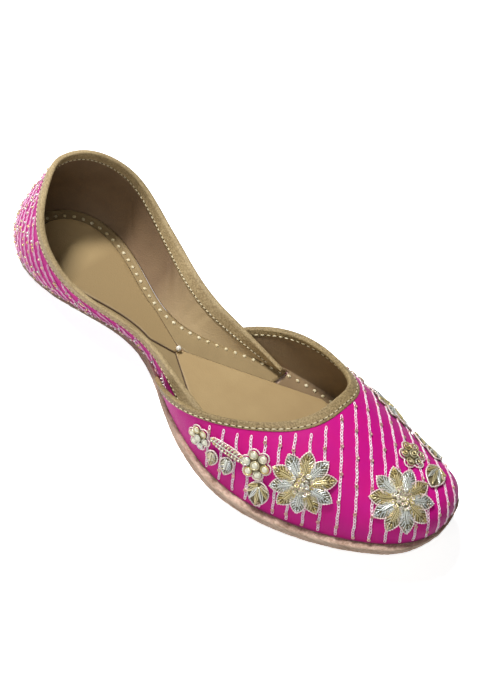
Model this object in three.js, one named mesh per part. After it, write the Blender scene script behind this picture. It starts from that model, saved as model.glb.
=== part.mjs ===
// Embroidered jutti, one right shoe: a flat leather sole, a silk covered quarter and vamp,
// leather bindings, a leather sock and raised flowers sewn on the vamp.
// Millimetres, +X to the toe, +Y to the inner side of the foot, +Z up, the floor at z = 0.
import * as THREE from 'three';
import { mergeVertices } from 'three/addons/utils/BufferGeometryUtils.js';

// Driving dimensions
const upperLength = 247;
const ballWidth = 82.4;
const waistWidth = 30;
const heelWidth = 53;
const toeSwing = 14.4;
const toeSpring = 18.4;
const rollLength = 88.5;

const soleThickness = 4.2;
const soleLedge = 1.5;
const soleRounding = 0.6;
const soleTuck = 2.6;
const clearance = 0.3;
const wallThickness = 2;

const collarWidth = 67.8;
const collarLean = 7.75;
const backHeight = 50;
const quarterLength = 142.8;
const quarterBulge = 25;
const wingHeight = 3.5;

const instepHeight = 64.6;
const vampLength = 69.7;
const vampReach = 142.1;
const vampFlare = 0.75;

const bindingWidth = 6.2;
const bindingExtra = 0.3;
const flangeThickness = 1;
const flangeWidth = 12;
const flangeShankExtra = 9.5;
const tuckSlack = 0.2;
const edgeReserve = 0.8;

const sockThickness = 0.9;
const sockInset = 8.3;
const knotDistance = 102.3;
const knotShift = -3.4;
const knotSize = 3;
const sockPoint = 1;
const heelSockFlare = 0.33;
const foreSockFlare = 0.6;

const flowerSize = 32;
const stoneFlowerSize = 13.4;
const leafSize = 13;
const stemLength = 19;
const motifHeight = 2.6;
const sewingGap = 0.5;

// Sizes that follow from them
const halfLength = upperLength / 2;
const seatZ = soleThickness + clearance;
const sockZ = seatZ + flangeThickness + clearance;
const rollStart = halfLength - rollLength;
const heelCentre = -halfLength + 0.55 * heelWidth;
const toeCentre = halfLength - 0.345 * ballWidth;
const throatFront = halfLength - vampLength;
const throatTip = halfLength - vampReach;
const wingEnd = quarterLength - halfLength;
const knotX = knotDistance - halfLength;
const tuckDepth = wallThickness + bindingExtra + clearance + tuckSlack;

// A smooth curve through the rows of a table: natural cubic spline of value against place
function curveThrough(rows) {
  const n = rows.length - 1;
  const step = rows.slice(1).map((row, i) => row.at - rows[i].at);
  const slope = step.map((h, i) => (rows[i + 1].value - rows[i].value) / h);
  const bend = new Array(n + 1).fill(0);
  const pivot = new Array(n + 1).fill(1);
  for (let i = 1; i < n; i++) {
    const carry = i > 1 ? step[i - 1] / pivot[i - 1] : 0;
    pivot[i] = 2 * (step[i - 1] + step[i]) - carry * step[i - 1];
    bend[i] = 6 * (slope[i] - slope[i - 1]) - carry * bend[i - 1];
  }
  for (let i = n - 1; i > 0; i--) bend[i] = (bend[i] - step[i] * bend[i + 1]) / pivot[i];
  return (at) => {
    let i = 0;
    while (i < n - 1 && at > rows[i + 1].at) i++;
    const t = at - rows[i].at;
    const curve = (bend[i + 1] - bend[i]) / (6 * step[i]);
    const start = slope[i] - step[i] * (2 * bend[i] + bend[i + 1]) / 6;
    return rows[i].value + t * (start + t * (bend[i] / 2 + t * curve));
  };
}

// The same, for a value that is even about place 0
function evenCurveThrough(rows) {
  const mirrored = rows.slice(1, 3).reverse().map((row) => ({ at: -row.at, value: row.value }));
  return curveThrough([...mirrored, ...rows]);
}

// Half width of the last where it meets the sole. The place s runs from 0 at the heel to 1 at the
// toe, at x = -halfLength cos(pi s). skew moves both edges to the inner side.
const widthRows = [
  { at: 0.0, of: heelWidth, share: 0 },
  { at: 0.1, of: heelWidth, share: 0.32 },
  { at: 0.2, of: heelWidth, share: 0.5 },
  { at: 0.3, of: heelWidth, share: 0.438 },
  { at: 0.4, of: waistWidth, share: 0.5 },
  { at: 0.45, of: ballWidth, share: 0.24 },
  { at: 0.5, of: ballWidth, share: 0.356 },
  { at: 0.6, of: ballWidth, share: 0.5 },
  { at: 0.7, of: ballWidth, share: 0.464 },
  { at: 0.8, of: ballWidth, share: 0.366 },
  { at: 0.9, of: ballWidth, share: 0.236 },
  { at: 1.0, of: ballWidth, share: 0 },
].map((row) => ({ at: row.at, value: row.share * row.of }));
const skewRows = [
  { at: 0, share: 0 },
  { at: 0.1, share: 0.014 },
  { at: 0.2, share: 0.018 },
  { at: 0.3, share: 0.01 },
  { at: 0.5, share: -0.03 },
  { at: 0.6, share: -0.029 },
  { at: 0.7, share: -0.02 },
  { at: 0.8, share: 0.006 },
  { at: 0.9, share: 0.03 },
  { at: 1, share: 0 },
].map((row) => ({ at: row.at, value: row.share * ballWidth }));
const halfWidthAt = curveThrough(widthRows);
const skewAt = curveThrough(skewRows);

// Height of the topline over the seat, and its half width, against the same place s
const collarHeightAt = evenCurveThrough([
  { at: 0, share: 0.992 },
  { at: 0.1, share: 1.0 },
  { at: 0.2, share: 0.784 },
  { at: 0.3, share: 0.501 },
  { at: 0.4, share: 0.389 },
  { at: 0.5, share: 0.226 },
  { at: 0.6, share: 0.022 },
].map((row) => ({ at: row.at, value: row.share * backHeight })));
const collarHalfWidthAt = curveThrough([
  { at: 0, share: 0 },
  { at: 0.1, share: 0.212 },
  { at: 0.2, share: 0.469 },
  { at: 0.3, share: 0.5 },
  { at: 0.4, share: 0.418 },
  { at: 0.5, share: 0.45 },
  { at: 0.6, share: 0.46 },
].map((row) => ({ at: row.at, value: row.share * collarWidth })));

// Height of the vamp's ridge over the seat, against x
const ridgeAt = curveThrough([
  { at: -0.324, share: 1.0 },
  { at: 0.243, share: 0.739 },
  { at: 0.486, share: 0.644 },
  { at: 0.688, share: 0.493 },
  { at: 0.874, share: 0.299 },
  { at: 1.053, share: 0.206 },
].map((row) => ({ at: row.at * halfLength, value: row.share * instepHeight })));

const clamp = THREE.MathUtils.clamp;
const smooth = THREE.MathUtils.smoothstep;
const placeOf = (x) => Math.acos(clamp(-x / halfLength, -1, 1)) / Math.PI;
const springAt = (x) => toeSpring * (Math.max(0, x - rollStart) / rollLength) ** 2;
const swingAt = (x) => toeSwing * ((x + halfLength) / upperLength) ** 2;
const knotY = swingAt(knotX) + knotShift;

// x of the spine point that a wall leans to, held softly between the heel and toe centres
function spineX(x) {
  const soft = 0.032 * upperLength;
  const low = heelCentre + soft * Math.log1p(Math.exp((x - heelCentre) / soft));
  return toeCentre - soft * Math.log1p(Math.exp((toeCentre - low) / soft));
}

// The last's edge at place s, with the level way in to the spine. side is -1 outer, 1 inner.
function edgeAt(s, side) {
  const x = -halfLength * Math.cos(Math.PI * s);
  const y = side * halfWidthAt(s) + skewAt(s);
  const reach = Math.hypot(spineX(x) - x, y) + 1e-9;
  return { x, y, inX: (spineX(x) - x) / reach, inY: -y / reach, reach };
}

// A point on the vamp, at place s and at angle from 0 on the seat to a quarter turn on the ridge.
// depth is how far it lies inside the outer face. Past the ridge or the toe it goes on over.
function vampPoint(s, side, angle, depth = 0) {
  if (s > 1) return vampPoint(2 - s, -side, angle, depth);
  if (angle > Math.PI / 2) return vampPoint(s, -side, Math.PI - angle, depth);
  const edge = edgeAt(s, side);
  const z = (ridgeAt(spineX(edge.x)) - depth) * Math.sin(Math.max(angle, 0)) ** 0.91;
  const lean = vampFlare * clamp((0.364 * halfLength - edge.x) / (0.526 * halfLength), 0, 1.5) ** 1.5;
  const inward = depth + (edge.reach - depth) * (1 - Math.cos(angle)) - lean * z * Math.cos(angle);
  const x = edge.x + edge.inX * inward;
  const y = edge.y + edge.inY * inward + swingAt(edge.x);
  const lift = THREE.MathUtils.lerp(springAt(edge.x), springAt(spineX(edge.x)), Math.sin(angle) ** 2);
  return new THREE.Vector3(x, y, seatZ + z + (angle < 0.001 ? springAt(x) : lift));
}

// Angle of the throat's rim at x, for a throat that runs from tip to front
function throatAngle(x, tip, front) {
  const t = clamp((x - tip) / (front - tip), 0, 1);
  return Math.acos((1 - t ** 1.65) ** (1 / 3));
}

// How far the quarter's wings lie inside the vamp
function tuckAt(s) {
  const x = -halfLength * Math.cos(Math.PI * s);
  return tuckDepth * smooth(x, throatTip - 0.4 * halfLength, throatTip);
}

// A point on the quarter: share v of the way up from the seat to the topline, at a depth
function quarterPoint(s, side, v, depth = 0) {
  const edge = edgeAt(s, side);
  const inward = depth + tuckAt(s) * (1 + 0.7 * v);
  const collar = halfLength - collarLean;
  const topX = -collar * Math.cos(Math.PI * s);
  const topY = side * collarHalfWidthAt(s);
  const height = collarHeightAt(s);
  const bulge = quarterBulge * v * (1 - v) ** 2 * clamp((height - wingHeight) / backHeight, 0, 1);
  const x = edge.x + (topX - edge.x) * v + edge.inX * (inward - bulge);
  const y = edge.y + (topY - edge.y) * v + edge.inY * (inward - bulge) + swingAt(edge.x);
  return new THREE.Vector3(x, y, seatZ + height * v + springAt(edge.x));
}

// A point on the last's edge, moved out by an offset and up by z
function solePoint(s, side, offset, z) {
  const edge = edgeAt(s, side);
  const back = edgeAt(s - 0.004, side);
  const ahead = edgeAt(s + 0.004, side);
  const along = new THREE.Vector2(ahead.x - back.x, ahead.y - back.y).normalize();
  const x = edge.x - side * along.y * offset;
  const y = edge.y + side * along.x * offset + swingAt(edge.x);
  return new THREE.Vector3(x, y, z + springAt(x));
}

// Triangles between the rows of a grid of points
function gridTriangles(grid, flip) {
  const out = [];
  for (let i = 0; i + 1 < grid.length; i++) {
    for (let j = 0; j + 1 < grid[i].length; j++) {
      const [a, b, c, d] = [grid[i][j], grid[i + 1][j], grid[i + 1][j + 1], grid[i][j + 1]];
      out.push(...(flip ? [a, c, b, a, d, c] : [a, b, c, a, c, d]));
    }
  }
  return out;
}

// A named mesh from loose triangles: shared corners are joined and empty triangles dropped
function solid(name, points, material) {
  const loose = new THREE.BufferGeometry();
  if (points.isBufferAttribute) loose.setAttribute('position', points);
  else loose.setFromPoints(points);
  const joined = mergeVertices(loose, 1e-4);
  const index = [];
  for (let i = 0; i < joined.index.count; i += 3) {
    const [a, b, c] = [0, 1, 2].map((k) => joined.index.getX(i + k));
    if (a !== b && b !== c && c !== a) index.push(a, b, c);
  }
  joined.setIndex(index);
  joined.computeVertexNormals();
  const mesh = new THREE.Mesh(joined, new THREE.MeshStandardMaterial(material));
  mesh.name = name;
  return mesh;
}

// A wall between an outer and an inner grid of points, closed round its rim. hasTop says at which
// columns the last row has a rim: elsewhere it meets the row of the other half.
function wall(outer, inner, hasTop = () => true) {
  const last = outer[0].length - 1;
  const end = outer.length - 1;
  const points = [...gridTriangles(outer, false), ...gridTriangles(inner, true)];
  points.push(...gridTriangles([inner[0], outer[0]], false));
  points.push(...gridTriangles([outer[end], inner[end]], false));
  for (let i = 0; i < end; i++) {
    points.push(...gridTriangles([[inner[i][0], outer[i][0]], [inner[i + 1][0], outer[i + 1][0]]], false));
    if (!hasTop(i)) continue;
    const [a, b] = [i, i + 1];
    points.push(...gridTriangles([[outer[a][last], inner[a][last]], [outer[b][last], inner[b][last]]], false));
  }
  return points;
}

const steps = (count) => Array.from({ length: count + 1 }, (_, i) => i / count);

// Stations round an end of the shoe: out along one side and back along the other
function roundStations(places, side) {
  const back = [...places].reverse().slice(1);
  return [...places.map((s) => ({ s, side })), ...back.map((s) => ({ s, side: -side }))];
}

// Finishes
const soleLeather = { color: 0xc89a78, roughness: 0.8, metalness: 0 };
const tanLeather = { color: 0xb99668, roughness: 0.55, metalness: 0 };
const boardFibre = { color: 0x9a7a55, roughness: 0.9, metalness: 0 };
const silk = { color: 0xc4107c, roughness: 0.6, metalness: 0 };
const silverThread = { color: 0xcbbd97, roughness: 0.35, metalness: 0.8 };
const cotton = { color: 0xeee8dc, roughness: 0.8, metalness: 0 };

// How far the sole's edge lies outside the last's: it draws in under the sides of heel and shank
const ledgeAt = (s) => soleLedge - soleTuck * smooth(s, 0.04, 0.15) * (1 - smooth(s, 0.4, 0.54));

// The outsole: one slab with a rounded edge, flat to the ball and rolled up at the toe
function outsole() {
  const edgeProfile = [
    { offset: -soleRounding, z: 0 },
    { offset: 0, z: 0.19 },
    { offset: 0, z: 0.75 },
    { offset: -soleRounding / 2, z: 1 },
  ];
  const places = steps(44);
  const rim = (side) => places.map((s) => edgeProfile.map((row) => (
    solePoint(s, side, ledgeAt(s) + row.offset, row.z * soleThickness))));
  const [outer, inner] = [rim(-1), rim(1)];
  const across = (row) => places.map((s, i) => [outer[i][row], inner[i][row]]);
  const points = [...gridTriangles(outer, false), ...gridTriangles(inner, true)];
  points.push(...gridTriangles(across(0), true), ...gridTriangles(across(3), false));
  return solid('outsole', points, soleLeather);
}

// A flat sheet between two edges, each a list of level points, raised to z
function sheet(outerEdge, innerEdge, low, high) {
  const at = (p, z) => new THREE.Vector3(p.x, p.y, z + springAt(p.x));
  const rows = outerEdge.map((p, i) => [at(p, low), at(innerEdge[i], low), at(innerEdge[i], high), at(p, high)]);
  const points = gridTriangles(rows.map((row) => [...row, row[0]]), true);
  const last = rows.length - 1;
  points.push(...gridTriangles([[rows[0][0], rows[0][1]], [rows[0][3], rows[0][2]]], false));
  points.push(...gridTriangles([[rows[last][0], rows[last][1]], [rows[last][3], rows[last][2]]], true));
  return points;
}

// A point at a depth inside the last's edge
function insetPoint(s, side, depth) {
  const edge = edgeAt(s, side);
  const inward = Math.min(depth, edge.reach - edgeReserve);
  return { x: edge.x + edge.inX * inward, y: edge.y + edge.inY * inward + swingAt(edge.x) };
}

// How far the lining is turned in: widest at the shank, where the sock is narrow
function flangeDepth(s) {
  const x = -halfLength * Math.cos(Math.PI * s);
  const fromShank = (x - 0.1 * halfLength) / (0.21 * halfLength);
  return flangeWidth + flangeShankExtra * Math.exp(-fromShank * fromShank);
}

// The insole board fills the space inside the turned in flanges
function insole() {
  const places = steps(34).slice(1, -1);
  const edge = (side) => places.map((s) => insetPoint(s, side, flangeDepth(s) + 3 * clearance));
  return solid('insole', sheet(edge(-1), edge(1), seatZ, seatZ + flangeThickness), boardFibre);
}

// The sock keeps its inset from the last's edge, and runs straight in to a point at the knot
function sockEdge(s, side, flare) {
  const inset = insetPoint(s, side, sockInset);
  const straight = knotY + side * (sockPoint + flare * Math.abs(inset.x - knotX));
  return { x: inset.x, y: side * Math.min(side * inset.y, side * straight) };
}

function sock(name, places, flare) {
  const edge = (side) => places.map((s) => sockEdge(s, side, flare));
  return solid(name, sheet(edge(-1), edge(1), sockZ, sockZ + sockThickness), tanLeather);
}

// The quarter: a hollow wall round the heel with its lining turned in under the sock
function quarterShare(s, dropped) {
  return clamp(1 - dropped / collarHeightAt(s), 1.2 * flangeThickness / collarHeightAt(s), 1);
}

function quarter() {
  const stations = roundStations(steps(22).map((t) => placeOf(wingEnd) * (1 - t)), 1);
  const climb = steps(5);
  const outer = stations.map(({ s, side }) => {
    const top = quarterShare(s, bindingWidth + clearance);
    const flange = quarterPoint(s, side, 0, flangeDepth(s) - tuckAt(s));
    return [flange, ...climb.map((t) => quarterPoint(s, side, t * top))];
  });
  const inner = stations.map(({ s, side }) => {
    const top = quarterShare(s, bindingWidth + clearance);
    const low = flangeThickness / collarHeightAt(s);
    const flange = quarterPoint(s, side, 0, flangeDepth(s) - tuckAt(s));
    flange.z += flangeThickness;
    return [flange, ...climb.map((t) => quarterPoint(s, side, low + t * (top - low), wallThickness))];
  });
  return solid('quarter', wall(outer, inner), silk);
}

// A binding folded over a rim: five rows across on each face, a little prouder than the wall
const bindingRows = [
  { across: 0, proud: 0 },
  { across: 0.1, proud: 1 },
  { across: 0.85, proud: 1 },
  { across: 1, proud: -1.5 },
];

function quarterBinding() {
  const stations = roundStations(steps(26).map((t) => placeOf(wingEnd) * (1 - t)), 1);
  const face = (thickness, outward) => stations.map(({ s, side }) => bindingRows.map((row) => {
    const low = quarterShare(s, bindingWidth + clearance) + 2 * clearance / collarHeightAt(s);
    const depth = thickness - outward * row.proud * bindingExtra;
    return quarterPoint(s, side, low + row.across * (1 - low), depth);
  }));
  return solid('quarter_binding', wall(face(0, 1), face(wallThickness, -1)), tanLeather);
}

// Stations along a throat's rim, closer together at its front
const rimStations = (count) => steps(count).map((t) => 1 - (1 - t) ** 2);

// The vamp: a hollow dome over the toes, open at the throat, its lining turned in past the wings
function vamp() {
  const tip = throatTip + 1.1 * bindingWidth + 2.5 * clearance;
  const front = throatFront + bindingWidth + 1.5 * clearance;
  const rim = rimStations(15).map((t) => tip + (0.03 + 0.97 * t) * (front - tip));
  const frontPlace = placeOf(front);
  const toe = steps(13).slice(1).map((t) => frontPlace + t * (1 - frontPlace));
  const past = [4, 6].map((n) => placeOf(wingEnd + n * clearance));
  const places = [...rim.map(placeOf), ...past, ...toe].sort((a, b) => a - b);
  const stations = roundStations(places, -1);
  const isRim = (k) => stations[k].s <= frontPlace + 1e-9;
  const climb = steps(9);
  const topAngle = (s) => (s < frontPlace ? throatAngle(-halfLength * Math.cos(Math.PI * s), tip, front) : Math.PI / 2);
  const turned = (s) => (s > past[1] - 1e-9 ? flangeDepth(s) : wallThickness);
  const outer = stations.map(({ s, side }) => [
    vampPoint(s, side, 0, turned(s)), ...climb.map((t) => vampPoint(s, side, t * topAngle(s))),
  ]);
  const inner = stations.map(({ s, side }) => {
    const rows = [turned(s), ...climb.map(() => wallThickness)];
    return rows.map((depth, j) => {
      const point = vampPoint(s, side, Math.max(0, j - 1) / 9 * topAngle(s), depth);
      point.z = Math.max(point.z, seatZ + flangeThickness + springAt(point.x));
      return point;
    });
  });
  return solid('vamp', wall(outer, inner, (k) => isRim(k) && isRim(k + 1)), silk);
}

function vampBinding() {
  const places = rimStations(24).map((t) => 0.025 + 0.975 * t);
  const stations = [...places.map((t) => ({ t, side: -1 })), ...[...places].reverse().slice(1).map((t) => ({ t, side: 1 }))];
  const at = (t, side, across, depth) => {
    const tip = throatTip + 1.1 * bindingWidth * (1 - across);
    const front = throatFront + bindingWidth * (1 - across);
    const x = tip + t * (front - tip);
    return vampPoint(placeOf(x), side, throatAngle(x, tip, front), depth);
  };
  const face = (thickness, outward) => stations.map(({ t, side }) => bindingRows.map((row) => (
    at(t, side, row.across, thickness - outward * row.proud * bindingExtra))));
  return solid('vamp_binding', wall(face(0, 1), face(wallThickness, -1)), tanLeather);
}

// The knot that holds the two sock pieces at the shank
function waistKnot() {
  const bead = new THREE.SphereGeometry(knotSize / 2, 12, 8);
  bead.translate(knotX, knotY, sockZ + sockThickness + clearance + knotSize / 2);
  return solid('waist_knot', bead.toNonIndexed().attributes.position, cotton);
}

// Raised sewn motifs: rings of points laid on the vamp round a centre. Each ring has a share of
// the outline's radius and a share of the motifs' height. reach is the span up the vamp, in
// radians, that sets the plane a motif is laid from.
const reliefs = {
  flower: {
    round: 40,
    reach: 0.35,
    rings: [[0, 1], [0.3, 0.92], [0.68, 0.81], [1, 0.62]],
    under: [1, 0.86, 0.7, 0.5, 0.25, 0],
  },
  stones: { round: 12, reach: 0.15, rings: [[0, 1], [0.55, 0.96], [1, 0.62]], under: [1, 0.5, 0] },
  leaf: { round: 10, reach: 0.15, rings: [[0, 0.77], [0.6, 0.69], [1, 0.58]], under: [1, 0.5, 0] },
  stem: { round: 12, reach: 0.15, rings: [[0, 0.65], [1, 0.58]], under: [1, 0.5, 0] },
};
const pointed = (a, long, wide) => (
  (Math.abs(Math.cos(a) / long) ** 1.4 + Math.abs(Math.sin(a) / wide) ** 1.4) ** (-1 / 1.4));
const outlines = {
  flower: (a, size) => size * flowerSize / 2 * (1 - 0.28 * Math.abs(Math.sin(5 * a)) ** 1.5),
  stones: (a, size) => size * stoneFlowerSize / 2 * (0.93 + 0.07 * Math.cos(6 * a)),
  leaf: (a, size) => pointed(a, size * leafSize / 2, size * leafSize / 3.2),
  stem: (a, size) => pointed(a, size * stemLength / 2, size * stemLength / 12),
};

// A motif stands at a share of the vamp's reach back from the toe, and at an angle up the vamp
function motif(cloth, row, side, name) {
  const s = placeOf(halfLength - row.from * vampReach);
  const angle = THREE.MathUtils.degToRad(row.angle);
  const relief = reliefs[row.kind];
  const reach = relief.reach;
  const centre = vampPoint(s, side, angle);
  const along = vampPoint(s + 0.1 * reach, side, angle).sub(vampPoint(s - 0.1 * reach, side, angle)).normalize();
  const climb = vampPoint(s, side, angle + reach).sub(vampPoint(s, side, angle - reach)).normalize();
  const out = new THREE.Vector3().crossVectors(along, climb).multiplyScalar(-side).normalize();
  const up = new THREE.Vector3().crossVectors(out, along).multiplyScalar(-side);
  const ray = new THREE.Raycaster();
  const lay = (a, share, height) => {
    const r = share * outlines[row.kind](a, row.size);
    const turn = a + THREE.MathUtils.degToRad(row.turn);
    const point = centre.clone().addScaledVector(along, r * Math.cos(turn)).addScaledVector(up, r * Math.sin(turn));
    ray.set(point.clone().addScaledVector(out, ballWidth / 4), out.clone().negate());
    const [hit] = ray.intersectObject(cloth);
    return (hit ? hit.point.clone() : point).addScaledVector(out, height);
  };
  const over = relief.rings.map(([share, height]) => [share, height * motifHeight]);
  const under = relief.under.map((share) => [share, sewingGap * (1 + share * share)]);
  const rings = [...over, ...under];
  const grid = steps(relief.round).map((t) => rings.map(([share, height]) => (
    lay((t % 1) * 2 * Math.PI, share, height))));
  return solid(name, gridTriangles(grid, side < 0), silverThread);
}

// Motifs of one side, from the throat's tip towards the toe
const sideMotifs = [
  { name: 'stone_flower_back', kind: 'stones', size: 0.85, from: 0.714, angle: 14.5, turn: 0 },
  { name: 'stem', kind: 'stem', size: 1, from: 0.618, angle: 22.2, turn: -12 },
  { name: 'leaf_back', kind: 'leaf', size: 0.68, from: 0.645, angle: 10.5, turn: -75 },
  { name: 'leaf_middle', kind: 'leaf', size: 0.76, from: 0.592, angle: 13.4, turn: -75 },
  { name: 'stone_flower_middle', kind: 'stones', size: 1, from: 0.522, angle: 26.2, turn: 0 },
  { name: 'leaf_front', kind: 'leaf', size: 1.1, from: 0.466, angle: 10.8, turn: -78 },
  { name: 'flower_side', kind: 'flower', size: 0.97, from: 0.38, angle: 33, turn: 0 },
];
const toeMotifs = [
  { name: 'flower_toe', kind: 'flower', size: 0.97, from: 0.086, angle: 54.2, turn: 0, side: -1 },
  { name: 'stone_flower_toe', kind: 'stones', size: 0.97, from: 0.169, angle: 75.5, turn: 0, side: 1 },
  { name: 'leaf_toe', kind: 'leaf', size: 1.05, from: 0.013, angle: 63, turn: 0, side: 1 },
  { name: 'leaf_toe_back', kind: 'leaf', size: 1, from: 0.224, angle: 38.4, turn: 60, side: 1 },
  { name: 'leaf_toe_front', kind: 'leaf', size: 1, from: 0.158, angle: 40, turn: 60, side: 1 },
];

const shoe = new THREE.Group();
const cloth = vamp();
const heelPlaces = steps(20).slice(1).map((t) => t * placeOf(knotX - clearance));
const foreStart = placeOf(knotX + clearance);
const forePlaces = steps(26).slice(0, -1).map((t) => foreStart + t * (1 - foreStart));
shoe.add(outsole());
shoe.add(insole());
shoe.add(sock('heel_sock', heelPlaces, heelSockFlare));
shoe.add(sock('forepart_sock', forePlaces, foreSockFlare));
shoe.add(waistKnot());
shoe.add(quarter());
shoe.add(quarterBinding());
shoe.add(cloth);
shoe.add(vampBinding());
for (const row of sideMotifs) {
  shoe.add(motif(cloth, row, -1, `${row.name}_outer`));
  shoe.add(motif(cloth, row, 1, `${row.name}_inner`));
}
for (const row of toeMotifs) shoe.add(motif(cloth, row, row.side, row.name));

export default shoe;
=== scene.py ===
# %% [markdown]
# This lesson dresses one embroidered jutti, a flat slip-on shoe of leather and silk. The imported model
# gives every piece its place. Blender adds the cloth, the leather, the stitches and the metal thread.

# %% Load the frame
import bpy
import bmesh
import math
from mathutils import Matrix, Vector, noise
from mathutils.bvhtree import BVHTree


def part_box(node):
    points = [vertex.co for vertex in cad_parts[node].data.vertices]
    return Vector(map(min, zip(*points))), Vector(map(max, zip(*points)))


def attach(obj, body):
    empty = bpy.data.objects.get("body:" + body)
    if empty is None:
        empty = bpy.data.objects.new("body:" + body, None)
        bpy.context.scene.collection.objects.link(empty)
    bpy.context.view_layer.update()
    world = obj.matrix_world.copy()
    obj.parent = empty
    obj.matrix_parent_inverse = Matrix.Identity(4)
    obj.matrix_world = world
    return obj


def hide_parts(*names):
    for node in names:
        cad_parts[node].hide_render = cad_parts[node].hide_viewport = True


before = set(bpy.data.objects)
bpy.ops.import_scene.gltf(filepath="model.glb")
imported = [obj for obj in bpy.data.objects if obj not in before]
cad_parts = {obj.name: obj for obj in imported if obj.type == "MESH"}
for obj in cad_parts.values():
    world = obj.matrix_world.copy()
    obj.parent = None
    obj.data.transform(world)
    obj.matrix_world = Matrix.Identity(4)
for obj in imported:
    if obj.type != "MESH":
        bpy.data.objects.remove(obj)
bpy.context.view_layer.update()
MM = 0.001

# %% [markdown]
# The camera stands where the photographer stood: high over the outer side, a little turned to the
# heel, and rolled so that the toe points down to the right. A long lens keeps the shoe's ends alike.

# %% Camera
VIEW_AZIMUTH = math.radians(21.54)
VIEW_ELEVATION = math.radians(47.53)
VIEW_ROLL = math.radians(26.25)
VIEW_DISTANCE = 604.5 * MM
VIEW_TARGET = Vector((-3.3, 17.9, 20.0)) * MM
LENS = 68.05


def aim_camera():
    look = Vector((-math.sin(VIEW_AZIMUTH) * math.cos(VIEW_ELEVATION),
                   math.cos(VIEW_AZIMUTH) * math.cos(VIEW_ELEVATION),
                   -math.sin(VIEW_ELEVATION)))
    camera = bpy.data.objects.new("camera", bpy.data.cameras.new("camera"))
    bpy.context.scene.collection.objects.link(camera)
    camera.data.lens = LENS
    camera.data.clip_start = 0.01
    turn = look.to_track_quat("-Z", "Y").to_matrix().to_4x4() @ Matrix.Rotation(VIEW_ROLL, 4, "Z")
    camera.matrix_world = Matrix.Translation(VIEW_TARGET - look * VIEW_DISTANCE) @ turn
    bpy.context.scene.camera = camera
    print("camera at", [round(c, 3) for c in camera.matrix_world.translation])


aim_camera()

# %% [markdown]
# The photo was taken on a plain white sheet in soft light, with hardly any shadow. A bright world,
# one large key lamp and a weaker fill give that look.

# %% Light
bpy.context.scene.view_settings.view_transform = "Standard"


def softbox(name, place, size, power):
    lamp = bpy.data.lights.new(name, "AREA")
    lamp.size = size
    lamp.energy = power
    box = bpy.data.objects.new(name, lamp)
    turn = (-Vector(place)).to_track_quat("-Z", "Y").to_matrix().to_4x4()
    box.matrix_world = Matrix.Translation(place) @ turn
    bpy.context.scene.collection.objects.link(box)
    print(name, "lamp:", power, "W, square of", size, "m")


softbox("key", place=(-0.52, -0.12, 1.0), size=0.22, power=14.5)
softbox("fill", place=(0.3, -0.8, 0.8), size=0.7, power=4.0)

# %% [markdown]
# Finishes are built from shader nodes. One function turns a hex colour to linear light, one adds a
# node with its settings and links, and one starts a material, so that each finish stays short.


# %% Helpers for finishes
def linear(text):
    channels = [int(text[i:i + 2], 16) / 255 for i in (0, 2, 4)]
    return [c / 12.92 if c <= 0.04045 else ((c + 0.055) / 1.055) ** 2.4 for c in channels] + [1.0]


def node(tree, kind, links=None, **settings):
    """Adds a node. links maps a socket to a value or to another node's output."""
    made = tree.nodes.new(kind)
    for name, value in settings.items():
        setattr(made, name, value)
    for socket, value in (links or {}).items():
        if isinstance(value, bpy.types.NodeSocket):
            tree.links.new(value, made.inputs[socket])
        else:
            made.inputs[socket].default_value = value
    return made


def finish_named(name, **plain):
    material = bpy.data.materials.new(name)
    material.use_nodes = True
    shader = material.node_tree.nodes["Principled BSDF"]
    for socket, value in plain.items():
        shader.inputs[socket.replace("_", " ")].default_value = value
    return material, material.node_tree, shader


# %% [markdown]
# Metal thread shows what stands round it. A plain white world would leave it flat, so this one has
# bright panels and dark gaps, which are too soft to change how the leather and the silk look.


# %% Studio
def studio():
    """A room of bright panels and dark gaps, brightest overhead, which the metal thread mirrors."""
    world = bpy.data.worlds.new("soft studio")
    world.use_nodes = True
    tree = world.node_tree
    way = node(tree, "ShaderNodeTexCoord").outputs["Generated"]
    height = node(tree, "ShaderNodeSeparateXYZ", {"Vector": way}).outputs["Z"]
    panels = node(tree, "ShaderNodeTexNoise", {"Vector": way, "Scale": 2.6, "Detail": 1.0}).outputs["Fac"]
    hard = node(tree, "ShaderNodeMapRange", {
        "Value": panels, "From Min": 0.44, "From Max": 0.56, "To Min": 0.3, "To Max": 0.8}).outputs["Result"]
    high = node(tree, "ShaderNodeMapRange", {
        "Value": height, "From Min": -0.1, "From Max": 0.8, "To Min": 0.5, "To Max": 1.3}).outputs["Result"]
    power = node(tree, "ShaderNodeMath", {0: hard, 1: high}, operation="MULTIPLY").outputs[0]
    tree.links.new(power, tree.nodes["Background"].inputs["Strength"])
    bpy.context.scene.world = world


studio()
print("studio world made")

# %% [markdown]
# The shoe stands on white paper that the photo shows as pure white. Real paper under one lamp would
# look grey, so the camera alone sees a glow in it. Other light still meets plain paper.

# %% Floor
FLOOR_GLOW = 0.75
FLOOR_SIZE = 3.0


def white_paper():
    """Uncoated paper: matt, with a hardly visible cloud of lighter and darker fibre."""
    paint, tree, shader = finish_named("white paper sheet", Roughness=0.9)
    seen = node(tree, "ShaderNodeLightPath").outputs["Is Camera Ray"]
    glow = node(tree, "ShaderNodeMath", {0: seen, 1: FLOOR_GLOW}, operation="MULTIPLY")
    tree.links.new(glow.outputs[0], shader.inputs["Emission Strength"])
    shader.inputs["Emission Color"].default_value = (1.0, 1.0, 1.0, 1.0)
    grain = node(tree, "ShaderNodeTexNoise", {"Scale": 60.0})
    tint = node(tree, "ShaderNodeMix", {"Factor": grain.outputs["Fac"]}, data_type="RGBA")
    tint.inputs["A"].default_value = linear("fdfdfd")
    tint.inputs["B"].default_value = linear("fafafa")
    tree.links.new(tint.outputs["Result"], shader.inputs["Base Color"])
    return paint


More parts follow.
